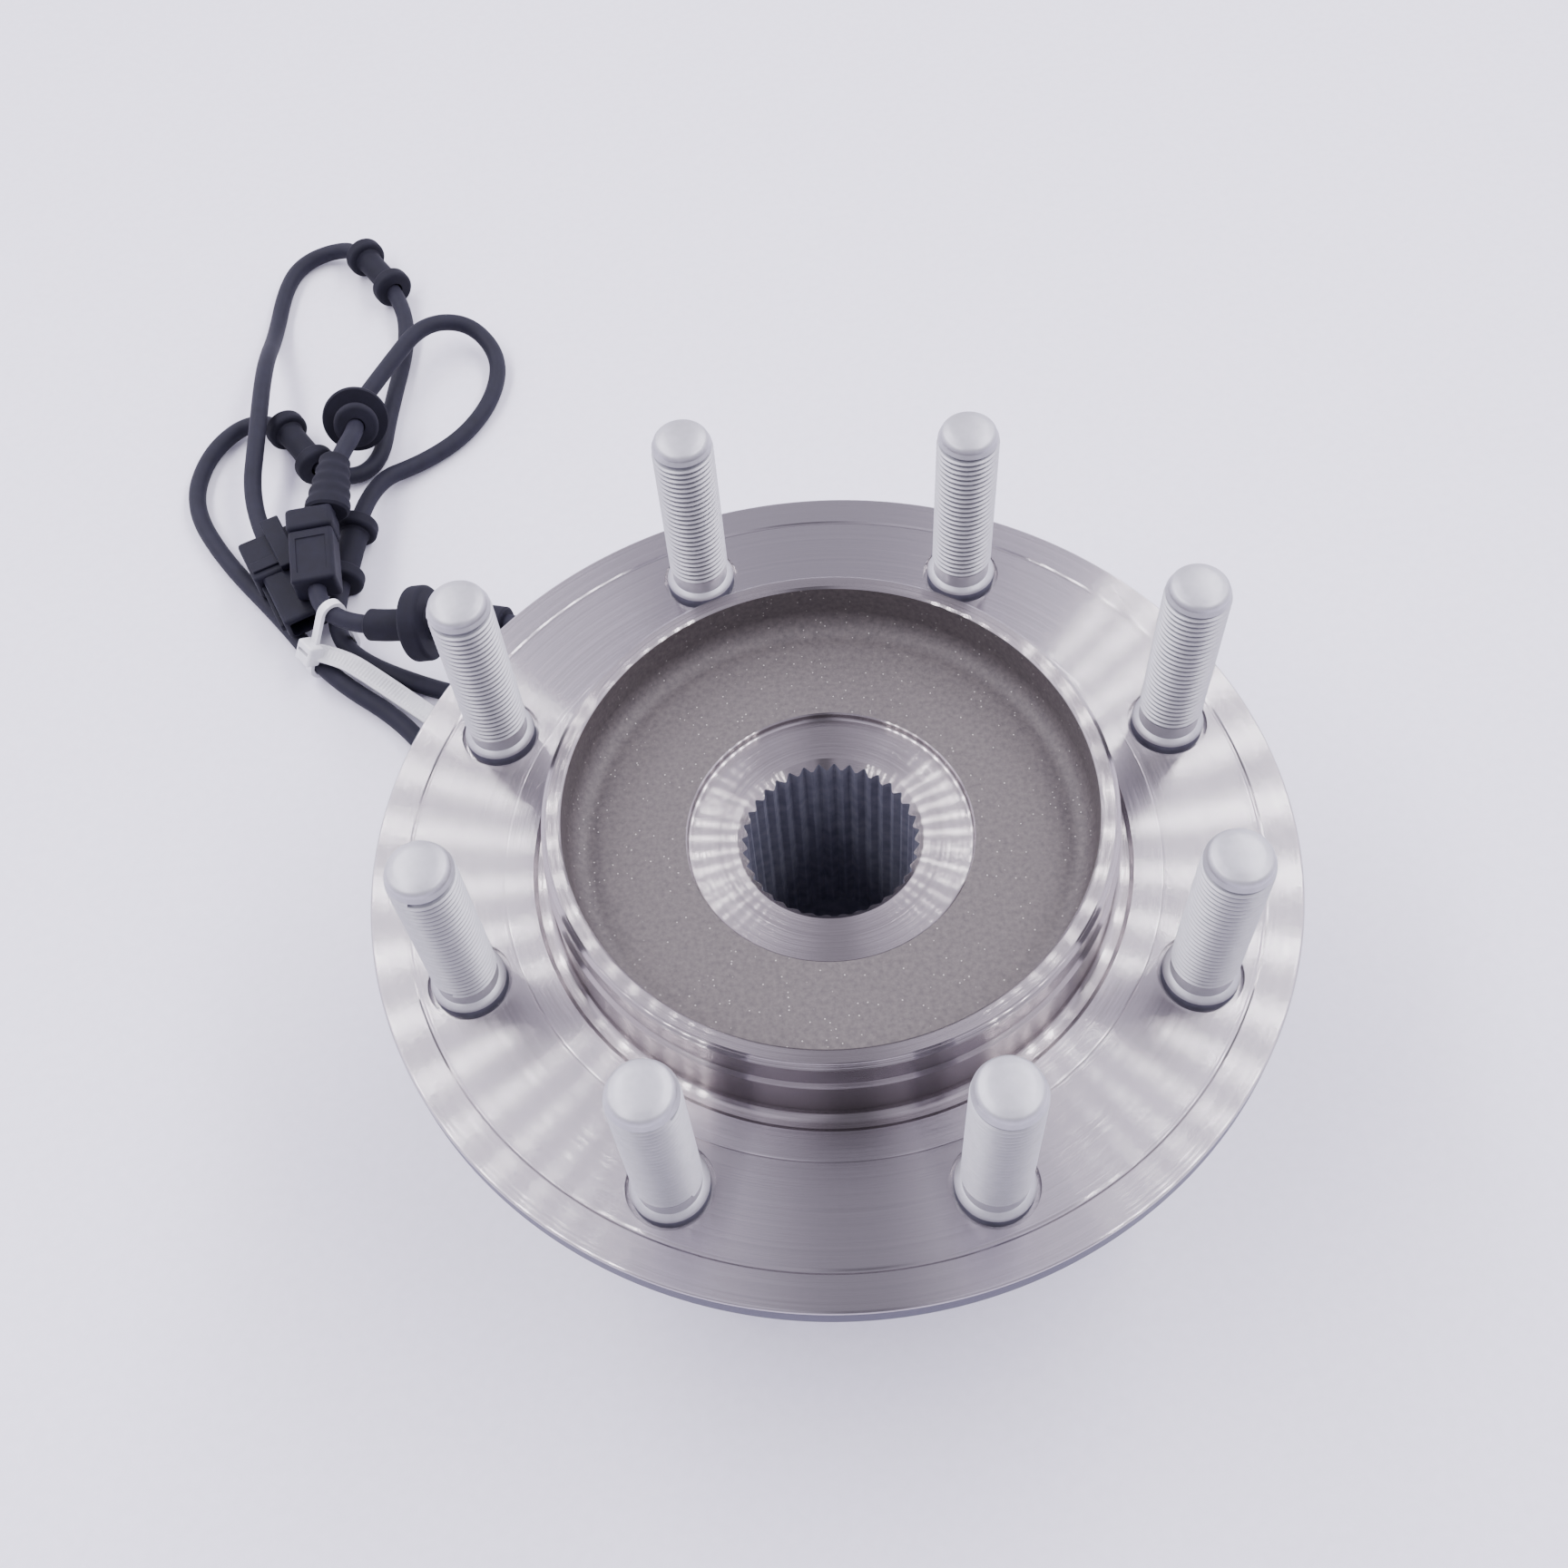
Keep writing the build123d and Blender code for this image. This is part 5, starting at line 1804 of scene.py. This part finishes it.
    def flange_outline(self) -> Outline:
        """Outline the flange: stud seat, thinner rim, groove, fine line and undercut.

        Returns:
            Points from the stud seat to the undercut's edge.
        """
        seat_in, seat_up = self.stud_seat_edge
        rim_in, rim_up = self.rim_edge
        rim_z = self.face_z - self.rim_t
        rim_corner = (self.flange_r - self.rim_chamfer, self.face_z - self.rim_chamfer)
        groove_z = self.face_z - self.groove_depth
        return [
            (self.stud_seat_r - seat_in, self.back_z),
            (self.stud_seat_r, self.back_z + seat_up),
            (self.flange_r - rim_in, rim_z - rim_up),
            (self.flange_r, rim_z + rim_up),
            *arc(rim_corner, self.rim_chamfer, 0, 90, 4),
            (self.groove_r + self.groove_w / 2, self.face_z),
            (self.groove_r + self.groove_floor_half, groove_z),
            (self.groove_r - self.groove_floor_half, groove_z),
            (self.groove_r - self.groove_w / 2, self.face_z),
            (self.inner_line_r + self.inner_line_half, self.face_z),
            (self.inner_line_r, self.face_z - self.inner_line_depth),
            (self.inner_line_r - self.inner_line_half, self.face_z),
            (self.relief_r + self.relief_depth, self.face_z),
            (self.relief_r, self.face_z - self.relief_depth),
        ]

    def pilot_outline(self) -> Outline:
        """Outline the stepped pilot, from the fillet at its foot to its bore's edge.

        Returns:
            Points over the top of the pilot.
        """
        top = self.face_z + self.pilot_h
        step_z = self.face_z + self.disc_pilot_h
        fillet = self.foot_fillet
        foot = (self.disc_pilot_r + fillet, self.face_z - self.relief_depth + fillet)
        return [
            *arc(foot, fillet, 270, 180, 8),
            (self.disc_pilot_r, step_z - (self.disc_pilot_r - self.wheel_pilot_r)),
            (self.wheel_pilot_r, step_z),
            (self.wheel_pilot_r, top - self.pilot_chamfer),
            (self.wheel_pilot_r - self.pilot_chamfer, top),
            (self.pilot_bore_r + self.pilot_bore_edge, top),
            (self.pilot_bore_r, top - self.pilot_bore_edge),
        ]

    def bore_outline(self) -> Outline:
        """Outline the dished cup, the spot face and the bore.

        Returns:
            Points from the cup's fillet down to the tail bore.
        """
        floor_corner = (self.pilot_bore_r - self.cup_fillet, self.cup_floor_z + self.cup_fillet)
        low_z = self.cup_floor_z - self.cup_step_h
        spot_corner = (self.spot_face_r - self.spot_fillet, self.spot_face_z + self.spot_fillet)
        return [
            *arc(floor_corner, self.cup_fillet, 0, -90, 8),
            (self.cup_step_r + self.cup_step_half, self.cup_floor_z),
            (self.cup_step_r - self.cup_step_half, low_z),
            (self.spot_face_r + self.spot_edge, low_z),
            (self.spot_face_r, low_z - self.spot_edge),
            *arc(spot_corner, self.spot_fillet, 0, -90, 4),
            (self.spline_minor_r + self.bore_chamfer, self.spot_face_z),
            (self.spline_minor_r, self.spot_face_z - self.bore_chamfer),
            (self.spline_minor_r, self.spline_bottom_z),
            (self.tail_bore_r, self.spline_bottom_z - (self.tail_bore_r - self.spline_minor_r)),
        ]

    def spline_cutter(self) -> bpy.types.Object:
        """Make the tapered tooth spaces, longer than the splines at both ends.

        Returns:
            All the spaces as one cutter.
        """
        below, above = self.spline_over
        deep = self.spot_face_z - self.spline_bottom_z + above + below
        mouth_r = self.spline_minor_r - self.spline_sink
        tooth = draw_outline(
            "tooth_space",
            [
                (mouth_r, self.spline_mouth_half),
                (self.spline_major_r, self.spline_floor_half),
                (self.spline_major_r, -self.spline_floor_half),
                (mouth_r, -self.spline_mouth_half),
            ],
        )
        bpy.ops.mesh.edge_face_add()
        bpy.ops.mesh.extrude_region_move(TRANSFORM_OT_translate={"value": (0, deep * MM, 0)})
        bpy.ops.mesh.select_all(action="SELECT")
        bpy.ops.mesh.normals_make_consistent(inside=False)
        bpy.ops.object.mode_set(mode="OBJECT")
        copies = range(1, self.spline_teeth)
        teeth = [tooth] + [copy_piece(tooth, f"tooth_space_{index}") for index in copies]
        upright = Matrix.Rotation(math.radians(90), 4, "X")
        lift = Matrix.Translation((0, 0, (self.spot_face_z + above - deep) * MM))
        for index, copy in enumerate(teeth):
            turn = Matrix.Rotation(index * FULL_TURN / self.spline_teeth, 4, "Z")
            copy.matrix_world = lift @ turn @ upright
        apply_place(*teeth)
        return join("spline_spaces", teeth)

    def mouth_cutter(self, stud_places: Sequence[Pair]) -> bpy.types.Object:
        """Make the shallow round reliefs at the stud places.

        Args:
            stud_places: (x, y) of the studs in millimetres.

        Returns:
            All the reliefs as one cutter.
        """
        cutters = [
            rod(self.mouth_r, 2 * self.mouth_depth, (x, y, self.face_z), self.mouth_facets)
            for x, y in stud_places
        ]
        return join("stud_reliefs", cutters)

    def zone(self, radius: float, height: float) -> HubZone:
        """Find the zone that a face lies in.

        Args:
            radius: Distance of the face's middle from the hub axis, in millimetres.
            height: Its height, in millimetres.

        Returns:
            The zone.
        """
        chamfer_z = self.spot_face_z - self.bore_margin[1] * self.bore_chamfer
        if radius < self.spline_major_r + self.bore_margin[0] and height < chamfer_z:
            return HubZone.BROACHED
        if radius < self.spot_face_r + self.spot_margin and height > self.spline_bottom_z:
            return HubZone.FINE_TURNED
        in_cup = radius < self.pilot_bore_r + self.cup_margin[0]
        if in_cup and height > self.cup_floor_z - self.cup_margin[1]:
            return HubZone.FORGED
        # Painted shade: the flange's side wall below the chamfer takes the darker rim finish.
        below_face = height < self.face_z - self.rim_margin[1] * self.rim_chamfer
        if radius > self.flange_r - self.rim_margin[0] and below_face:
            return HubZone.RIM
        inside, above, below = self.wall_margin
        on_wall = self.face_z + above < height < self.face_z + self.pilot_h - below
        if radius > self.wheel_pilot_r - inside and on_wall:
            return HubZone.PILOT_WALL
        in_foot = radius < self.relief_r - self.foot_margin[0]
        if in_foot and height > self.face_z - self.foot_margin[1]:
            return HubZone.FINE_TURNED
        return HubZone.TURNED


class StudZone(IntEnum):
    """Zones of a stud, in the order of their finishes."""

    COATED = 0
    # Painted shade on the collar's foot, where the relief gap round it lies in shadow.
    BARE = 1
    # Painted shade in the thread's root and on the inner half of its flanks.
    ROOT = 2


@dataclass
class WheelStuds:
    """Eight studs: head, knurl, collar, rolled thread and crowned tip.

    Attributes:
        start_deg: Heading of the first stud.
        shade_rise: Height over the flange up to which the stud is painted dark as shade of the gap
            round its collar.
        neck_l: Length of the neck between collar and thread.
        neck_edge: Height of the cones at the neck's foot and top.
        shoulder_in: How far the thread's last turn tapers in at two heights.
        shoulder_z: Heights of those two from the tip's shoulder.
        tip_run: Lengths of the cones before and after the shoulder.
        crown_h: Height of the crown of the tip.
        thread_over: How far the ridge starts under the thread and ends under the shoulder.
        ridge_sink: How far the ridge's foot lies inside the core.
        turn_rad: Turn from each stud to the next about its own axis.
    """

    count: int = 8
    circle_r: float = 82.55
    start_deg: float = 17.36
    back_z: float = 71.0
    face_z: float = 86.0
    head_r: float = 11.0
    head_t: float = 4.5
    head_edge: float = 0.8
    knurl_r: float = 7.85
    collar_r: float = 8.0
    collar_rise: float = 2.2
    collar_chamfer: float = 0.9
    collar_edge: Pair = (0.4, 0.2)
    shade_rise: float = 1.3
    mouth_depth: float = 1.6
    root_r: float = 6.08
    crest_r: float = 6.97
    pitch: float = 1.5
    standout: float = 49.4
    crest_w: float = 0.18
    root_w: float = 0.16
    neck_r: float = 6.6
    neck_l: float = 4.0
    neck_edge: Pair = (0.3, 0.6)
    shoulder_in: Pair = (0.2, 0.25)
    shoulder_z: Pair = (-0.1, 0.15)
    tip_run: Pair = (0.8, 0.75)
    tip_r: float = 6.3
    tip_l: float = 3.2
    tip_round: float = 1.5
    tip_turn_deg: float = 80.0
    crown_h: float = 0.7
    crown_step_deg: int = 18
    thread_over: Pair = (0.7, 0.3)
    ridge_sink: float = 0.2
    facets: int = 48
    thread_facets: int = 40
    turn_rad: float = 1.1
    crisp_deg: float = 35.0

    def places(self) -> list[Pair]:
        """Find where the studs stand.

        Returns:
            Their (x, y), in millimetres.
        """
        start = math.radians(self.start_deg)
        turns = [start + FULL_TURN * index / self.count for index in range(self.count)]
        return [(self.circle_r * math.cos(t), self.circle_r * math.sin(t)) for t in turns]

    def core_outline(self) -> Outline:
        """Outline the stud without its thread.

        Returns:
            Its half outline, from the head's middle to the tip's.
        """
        return [*self.shank_outline(), *self.tip_outline()]

    def shank_outline(self) -> Outline:
        """Outline head, knurl, collar and neck.

        Returns:
            Points up to the thread's first root.
        """
        head_z = self.back_z - self.head_t
        floor = self.face_z - self.mouth_depth
        collar_top = self.face_z + self.collar_rise
        return [
            (0, head_z),
            (self.head_r - self.head_edge, head_z),
            (self.head_r, head_z + self.head_edge),
            (self.head_r, self.back_z),
            (self.knurl_r, self.back_z),
            (self.knurl_r, floor),
            (self.collar_r, floor),
            (self.collar_r, collar_top - self.collar_chamfer),
            (self.collar_r - self.collar_edge[0], collar_top - self.collar_edge[1]),
            (self.neck_r, collar_top + self.neck_edge[0]),
            (self.neck_r, collar_top + self.neck_l),
            (self.root_r, collar_top + self.neck_l + self.neck_edge[1]),
        ]

    def tip_outline(self) -> Outline:
        """Outline the thread's end and the crowned tip.

        Returns:
            Points from the thread's last root to the middle of the tip.
        """
        top = self.face_z + self.standout
        shoulder = top - self.tip_l
        before, after = self.tip_run
        crown_r = self.tip_r - self.tip_round
        edge = (crown_r, top - self.crown_h - self.tip_round)
        crown_turns = [math.radians(self.crown_step_deg * index) for index in range(1, 5)]
        return [
            (self.root_r, shoulder - before),
            (self.crest_r - self.shoulder_in[0], shoulder + self.shoulder_z[0]),
            (self.crest_r - self.shoulder_in[1], shoulder + self.shoulder_z[1]),
            (self.tip_r, shoulder + after),
            *arc(edge, self.tip_round, 0, self.tip_turn_deg, 6),
            *[(crown_r * math.cos(t), top - self.crown_h * (1 - math.sin(t))) for t in crown_turns],
            (0, top),
        ]

    def ridge_outline(self, middle: float) -> Outline:
        """Outline the thread's ridge, round at its flanks.

        Args:
            middle: Height of the ridge's first turn.

        Returns:
            Its closed section.
        """
        foot = (self.pitch - self.root_w) / 2
        crest = self.crest_w / 2
        inside = self.root_r - self.ridge_sink
        half_r = (self.root_r + self.crest_r) / 2
        half = (foot + crest) / 2
        return [
            (inside, middle - foot),
            (self.root_r, middle - foot),
            (half_r, middle - half),
            (self.crest_r, middle - crest),
            (self.crest_r, middle + crest),
            (half_r, middle + half),
            (self.root_r, middle + foot),
            (inside, middle + foot),
            (inside, middle - foot),
        ]

    def roll_thread(self) -> bpy.types.Object:
        """Carry one ridge up a screw line and close its ends.

        Returns:
            The thread as one closed ridge.
        """
        low = self.face_z + self.collar_rise + self.neck_l - self.thread_over[0]
        high = self.face_z + self.standout - self.tip_l - self.thread_over[1]
        obj = draw_outline("thread", self.ridge_outline(low + self.pitch / 2))
        bpy.ops.mesh.remove_doubles(threshold=MERGE_MM * MM)
        bpy.ops.object.mode_set(mode="OBJECT")
        apply_modifier(
            obj,
            "SCREW",
            axis="Z",
            angle=FULL_TURN,
            screw_offset=self.pitch * MM,
            iterations=int((high - low) / self.pitch),
            steps=self.thread_facets,
            render_steps=self.thread_facets,
        )
        pick(obj)
        bpy.ops.object.mode_set(mode="EDIT")
        bpy.ops.mesh.select_all(action="DESELECT")
        bpy.ops.mesh.select_mode(type="EDGE")
        bpy.ops.mesh.select_non_manifold()
        bpy.ops.mesh.edge_face_add()
        bpy.ops.mesh.select_mode(type="VERT")
        bpy.ops.object.mode_set(mode="OBJECT")
        clean_shell(obj)
        return obj

    def zone(self, radius: float, height: float) -> StudZone:
        """Find the zone that a face of a stud lies in.

        Args:
            radius: Distance of the face's middle from the stud's axis, in millimetres.
            height: Its height, in millimetres.

        Returns:
            The zone.
        """
        # Painted shade: the collar's foot and everything below it take the dark finish.
        if height < self.face_z + self.shade_rise:
            return StudZone.BARE
        low = self.face_z + self.collar_rise + self.neck_l
        high = self.face_z + self.standout - self.tip_l
        # Painted shade: faces inside the flanks' middle radius along the thread take the darker
        # root finish.
        in_shaded_root = radius < (self.root_r + self.crest_r) / 2
        return StudZone.ROOT if low < height < high and in_shaded_root else StudZone.COATED

    def build(self) -> bpy.types.Object:
        """Make one stud, copy it round the flange and dress the set.

        Returns:
            The eight studs as one piece.
        """
        core = lathe("stud_core", self.core_outline(), steps=self.facets, closed=False)
        stud = join("stud", [core, self.roll_thread()])
        finishes = {
            StudZone.COATED: ZINC_FLAKE,
            StudZone.BARE: COLLAR_SHADE_PAINT,
            StudZone.ROOT: ZINC_ROOT_SHADE,
        }
        dress_zones(stud, [finishes[zone] for zone in StudZone], self.zone)
        studs = [stud] + [copy_piece(stud, f"stud_{index}") for index in range(1, self.count)]
        for index, (copy, (x, y)) in enumerate(zip(studs, self.places())):
            turn = Matrix.Rotation(self.turn_rad * index, 4, "Z")
            copy.matrix_world = Matrix.Translation((x * MM, y * MM, 0)) @ turn
        apply_place(*studs)
        obj = join("wheel_stud_set", studs)
        smooth(obj, self.crisp_deg)
        return settle(obj, Body.HUB, Slot.ZINC_FLAKE, "wheel_studs")


# ---------------------------------------------------------------------------
# Bearing, housing, sensor and cable tie
# ---------------------------------------------------------------------------


@dataclass
class BearingSet:
    """Both taper roller rows with their rings, cages, seals, spacer and tone ring."""

    rows: tuple[str, str] = ("outboard", "inboard")

    def build(self) -> None:
        """Dress the inner nodes and smooth the ones that show between flange and housing."""
        for row in self.rows:
            self.dress_node(f"{row}_rollers", GROUND_STEEL)
            self.dress_node(f"{row}_cage", PHOSPHATED)
            dressed_copy(f"{row}_cone", f"{row}_inner_ring", GROUND_STEEL, Body.HUB, Slot.BEARING)
            self.dress_seal(row)
        self.dress_node("cone_spacer", GROUND_STEEL)
        self.dress_node("tone_ring", SINTERED)

    def dress_seal(self, row: str) -> None:
        """Smooth and dress the slinger, case and lip of one row's seal.

        Args:
            row: Name of the row.
        """
        slinger, case, lip = f"{row}_seal_slinger", f"{row}_seal_case", f"{row}_seal_lip"
        dressed_copy(slinger, f"{row}_slinger_sheet", PHOSPHATED, Body.HUB, Slot.PRESSED)
        dressed_copy(case, f"{row}_seal_case_sheet", PHOSPHATED, Body.HOUSING, Slot.PRESSED)
        dressed_copy(lip, f"{row}_seal_rubber", MOULDED_RUBBER, Body.HOUSING, Slot.RUBBER)

    def dress_node(self, node: str, finish: Finish) -> None:
        """Give a CAD node that keeps its shape its finish.

        Args:
            node: The node.
            finish: Its finish.
        """
        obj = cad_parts[node]
        if not obj.data.materials:
            obj.data.materials.append(finish.material())
        for slot in obj.material_slots:
            slot.material = finish.material()
        LOG.info("%s keeps its shape", node)


@dataclass
class KnuckleHousing:
    """Outer housing that bolts to the knuckle."""

    edge_mm: float = 0.3

    def build(self) -> bpy.types.Object:
        """Smooth and dress the housing.

        Returns:
            The housing.
        """
        name = "knuckle_housing"
        body, slot = Body.HOUSING, Slot.FORGED
        return dressed_copy("bearing_housing", name, OILED_STEEL, body, slot, self.edge_mm)


@dataclass
class WheelSpeedSensor:
    """Sensor body with its compression bushing, screw and O-ring."""

    edge_mm: float = 0.3
    screw_edge_mm: float = 0.25

    def build(self) -> None:
        """Smooth and dress the sensor's pieces."""
        body = Body.HOUSING
        sensor, screw = "wheel_speed_sensor", "sensor_bolt"
        dressed_copy(sensor, "sensor_body", BLACK_NYLON, body, Slot.NYLON, self.edge_mm)
        dressed_copy("sensor_bushing", "sensor_bush_sleeve", GROUND_STEEL, body, Slot.BEARING)
        dressed_copy(screw, "sensor_screw", ZINC_FLAKE, body, Slot.ZINC_FLAKE, self.screw_edge_mm)
        dressed_copy("sensor_o_ring", "sensor_seal_ring", MOULDED_RUBBER, body, Slot.RUBBER)


@dataclass
class CableTie:
    """Nylon tie round three strands of the lead: loop, ratchet head and a toothed tail.

    Attributes:
        middle_mm: Point of the loop's plane.
        turn_deg: Heading of the plane's across direction.
        reach: How far from the middle a strand still counts.
        strand_r: Inner radius of the loop round a strand.
        head_at: Place of the head in the plane, across and up.
        window_share: Height of the head's window as a share of the head's.
        tail_mm: Control points of the tail's line.
        tooth_share: Length and width of a tooth as shares of the pitch and the tail's width.
        weld_mm: Grain of the mesh that joins the teeth to the strip.
    """

    lead: SpeedSensorLead
    middle_mm: Point = (-138.6, 132.7, 0.0)
    turn_deg: float = 40.0
    reach: float = 15.0
    strand_r: float = 3.05
    band_t: float = 1.2
    loop_w: float = 2.6
    loop_facets: int = 40
    head_at: Pair = (-9.6, 12.0)
    head_lean_deg: float = 56.7
    head_mm: Point = (6.6, 4.6, 6.6)
    head_round: float = 0.7
    window_x: float = 0.6
    window_share: float = 0.7
    window_round: float = 0.2
    tail_w: float = 6.2
    tail_t: float = 1.0
    tail_l: float = 43.0
    tail_round: float = 0.3
    tail_cuts: int = 3
    tail_mm: Sequence[Point] = (
        (-144.5, 127.5, 10.5), (-137, 125.5, 9.6), (-127, 118.5, 7.0), (-109.2, 104.5, 2.2),
    )
    tooth_pitch: float = 1.1
    tooth_h: float = 0.35
    tooth_share: Pair = (0.62, 0.6)
    tooth_round: float = 0.15
    weld_mm: float = 0.28
    crisp_deg: float = 40.0

    def build(self) -> bpy.types.Object:
        """Make loop, head and tail, join them and dress the tie.

        Returns:
            The tie.
        """
        across, through = self.plane()
        band = join("tie_band", [self.loop(), self.head()])
        place(band, self.middle_mm, through, across)
        obj = join("nylon_cable_tie", [band, self.tail()])
        clean_shell(obj)
        smooth(obj, self.crisp_deg)
        dress(obj, WHITE_NYLON)
        return settle(obj, Body.HOUSING, Slot.WHITE_NYLON, "cable_tie")

    def plane(self) -> tuple[Vector, Vector]:
        """Find how the loop's plane lies.

        Returns:
            The directions across it and through it.
        """
        turn = math.radians(self.turn_deg)
        across = Vector((math.cos(turn), math.sin(turn), 0.0))
        return across, across.cross(UP)

    def strands(self) -> list[Pair]:
        """Find where the strands cross the loop's plane.

        Returns:
            Their places across and up, in millimetres.
        """
        across, through = self.plane()
        middle = Vector(self.middle_mm)
        crossings = []
        for start, end in zip(self.lead.line, self.lead.line[1:]):
            if (start - middle).dot(through) * (end - middle).dot(through) <= 0:
                offset = (start + end) / 2 - middle
                if abs(offset.dot(across)) < self.reach:
                    crossings.append((offset.dot(across), offset.z))
        return crossings

    def skin(self, name: str, radius: float, width: float) -> bpy.types.Object:
        """Shrink a skin round rods set at the strands.

        Args:
            name: Name of the object.
            radius: Radius of the rods.
            width: Length of the rods.

        Returns:
            The skin, lying in the local XY plane.
        """
        rods = [rod(radius, width, (x, y, 0), self.loop_facets) for x, y in self.strands()]
        obj = join(name, rods)
        bpy.ops.object.transform_apply(location=True, rotation=True, scale=True)
        bpy.ops.object.mode_set(mode="EDIT")
        bpy.ops.mesh.select_all(action="SELECT")
        bpy.ops.mesh.convex_hull()
        bpy.ops.object.mode_set(mode="OBJECT")
        return obj

    def loop(self) -> bpy.types.Object:
        """Make the band that lies round the strands.

        Returns:
            The loop.
        """
        obj = self.skin("tie_loop", self.strand_r + self.band_t, self.loop_w)
        cut(obj, self.skin("tie_core", self.strand_r, 2 * self.loop_w))
        return obj

    def head(self) -> bpy.types.Object:
        """Make the ratchet head with the window that the tail runs through.

        Returns:
            The head, in its place in the local XY plane.
        """
        obj = block("tie_head", self.head_mm, (0, 0, 0), self.head_round)
        window_mm = (self.band_t, 2 * self.head_mm[1], self.head_mm[2] * self.window_share)
        cut(obj, block("tie_window", window_mm, (self.window_x, 0, 0), self.window_round, 1))
        lean = Matrix.Rotation(math.radians(self.head_lean_deg), 4, "Z")
        obj.matrix_world = Matrix.Translation(Vector((*self.head_at, 0)) * MM) @ lean
        apply_place(obj)
        return obj

    def tail(self) -> bpy.types.Object:
        """Make a strip with a row of ratchet teeth and lay it along the tail's line.

        Returns:
            The tail.
        """
        strip_mm = (self.tail_l, self.tail_w, self.tail_t)
        strip = block("tie_strip", strip_mm, (self.tail_l / 2, 0, 0), self.tail_round, 2)
        edit_all(strip)
        bpy.ops.mesh.subdivide(number_cuts=self.tail_cuts)
        bpy.ops.object.mode_set(mode="OBJECT")
        long, wide = self.tooth_share
        tooth_mm = (self.tooth_pitch * long, self.tail_w * wide, self.tooth_h * 2)
        tooth_at = (self.tooth_pitch, 0, self.tail_t / 2)
        tooth = block("tie_tooth", tooth_mm, tooth_at, self.tooth_round, 1)
        apply_modifier(
            tooth,
            "ARRAY",
            count=int(self.tail_l / self.tooth_pitch) - 2,
            use_relative_offset=False,
            use_constant_offset=True,
            constant_offset_displace=(self.tooth_pitch * MM, 0, 0),
        )
        obj = join("tie_tail", [strip, tooth])
        apply_modifier(obj, "REMESH", mode="VOXEL", voxel_size=self.weld_mm * MM)
        guide = draw_line("tail_guide", self.tail_mm)
        guide.data.twist_mode = "Z_UP"
        apply_modifier(obj, "CURVE", object=guide, deform_axis="POS_X")
        bpy.data.objects.remove(guide, do_unlink=True)
        return obj


def main() -> None:
    """Build the studio and every sub-assembly in order."""
    logging.basicConfig(level=logging.INFO, format="%(name)s: %(message)s")
    Studio().build()
    lead = SpeedSensorLead()
    lead.build()
    grommets = LeadGrommets(lead).build()
    splice = Splice(lead).build()
    connector = LeadConnector(lead).build()
    lead.declare([*grommets, *splice, *connector, CableTie(lead).build()])
    studs = WheelStuds()
    WheelHub().build(studs.places())
    studs.build()
    BearingSet().build()
    KnuckleHousing().build()
    WheelSpeedSensor().build()


if __name__ == "__main__":
    main()
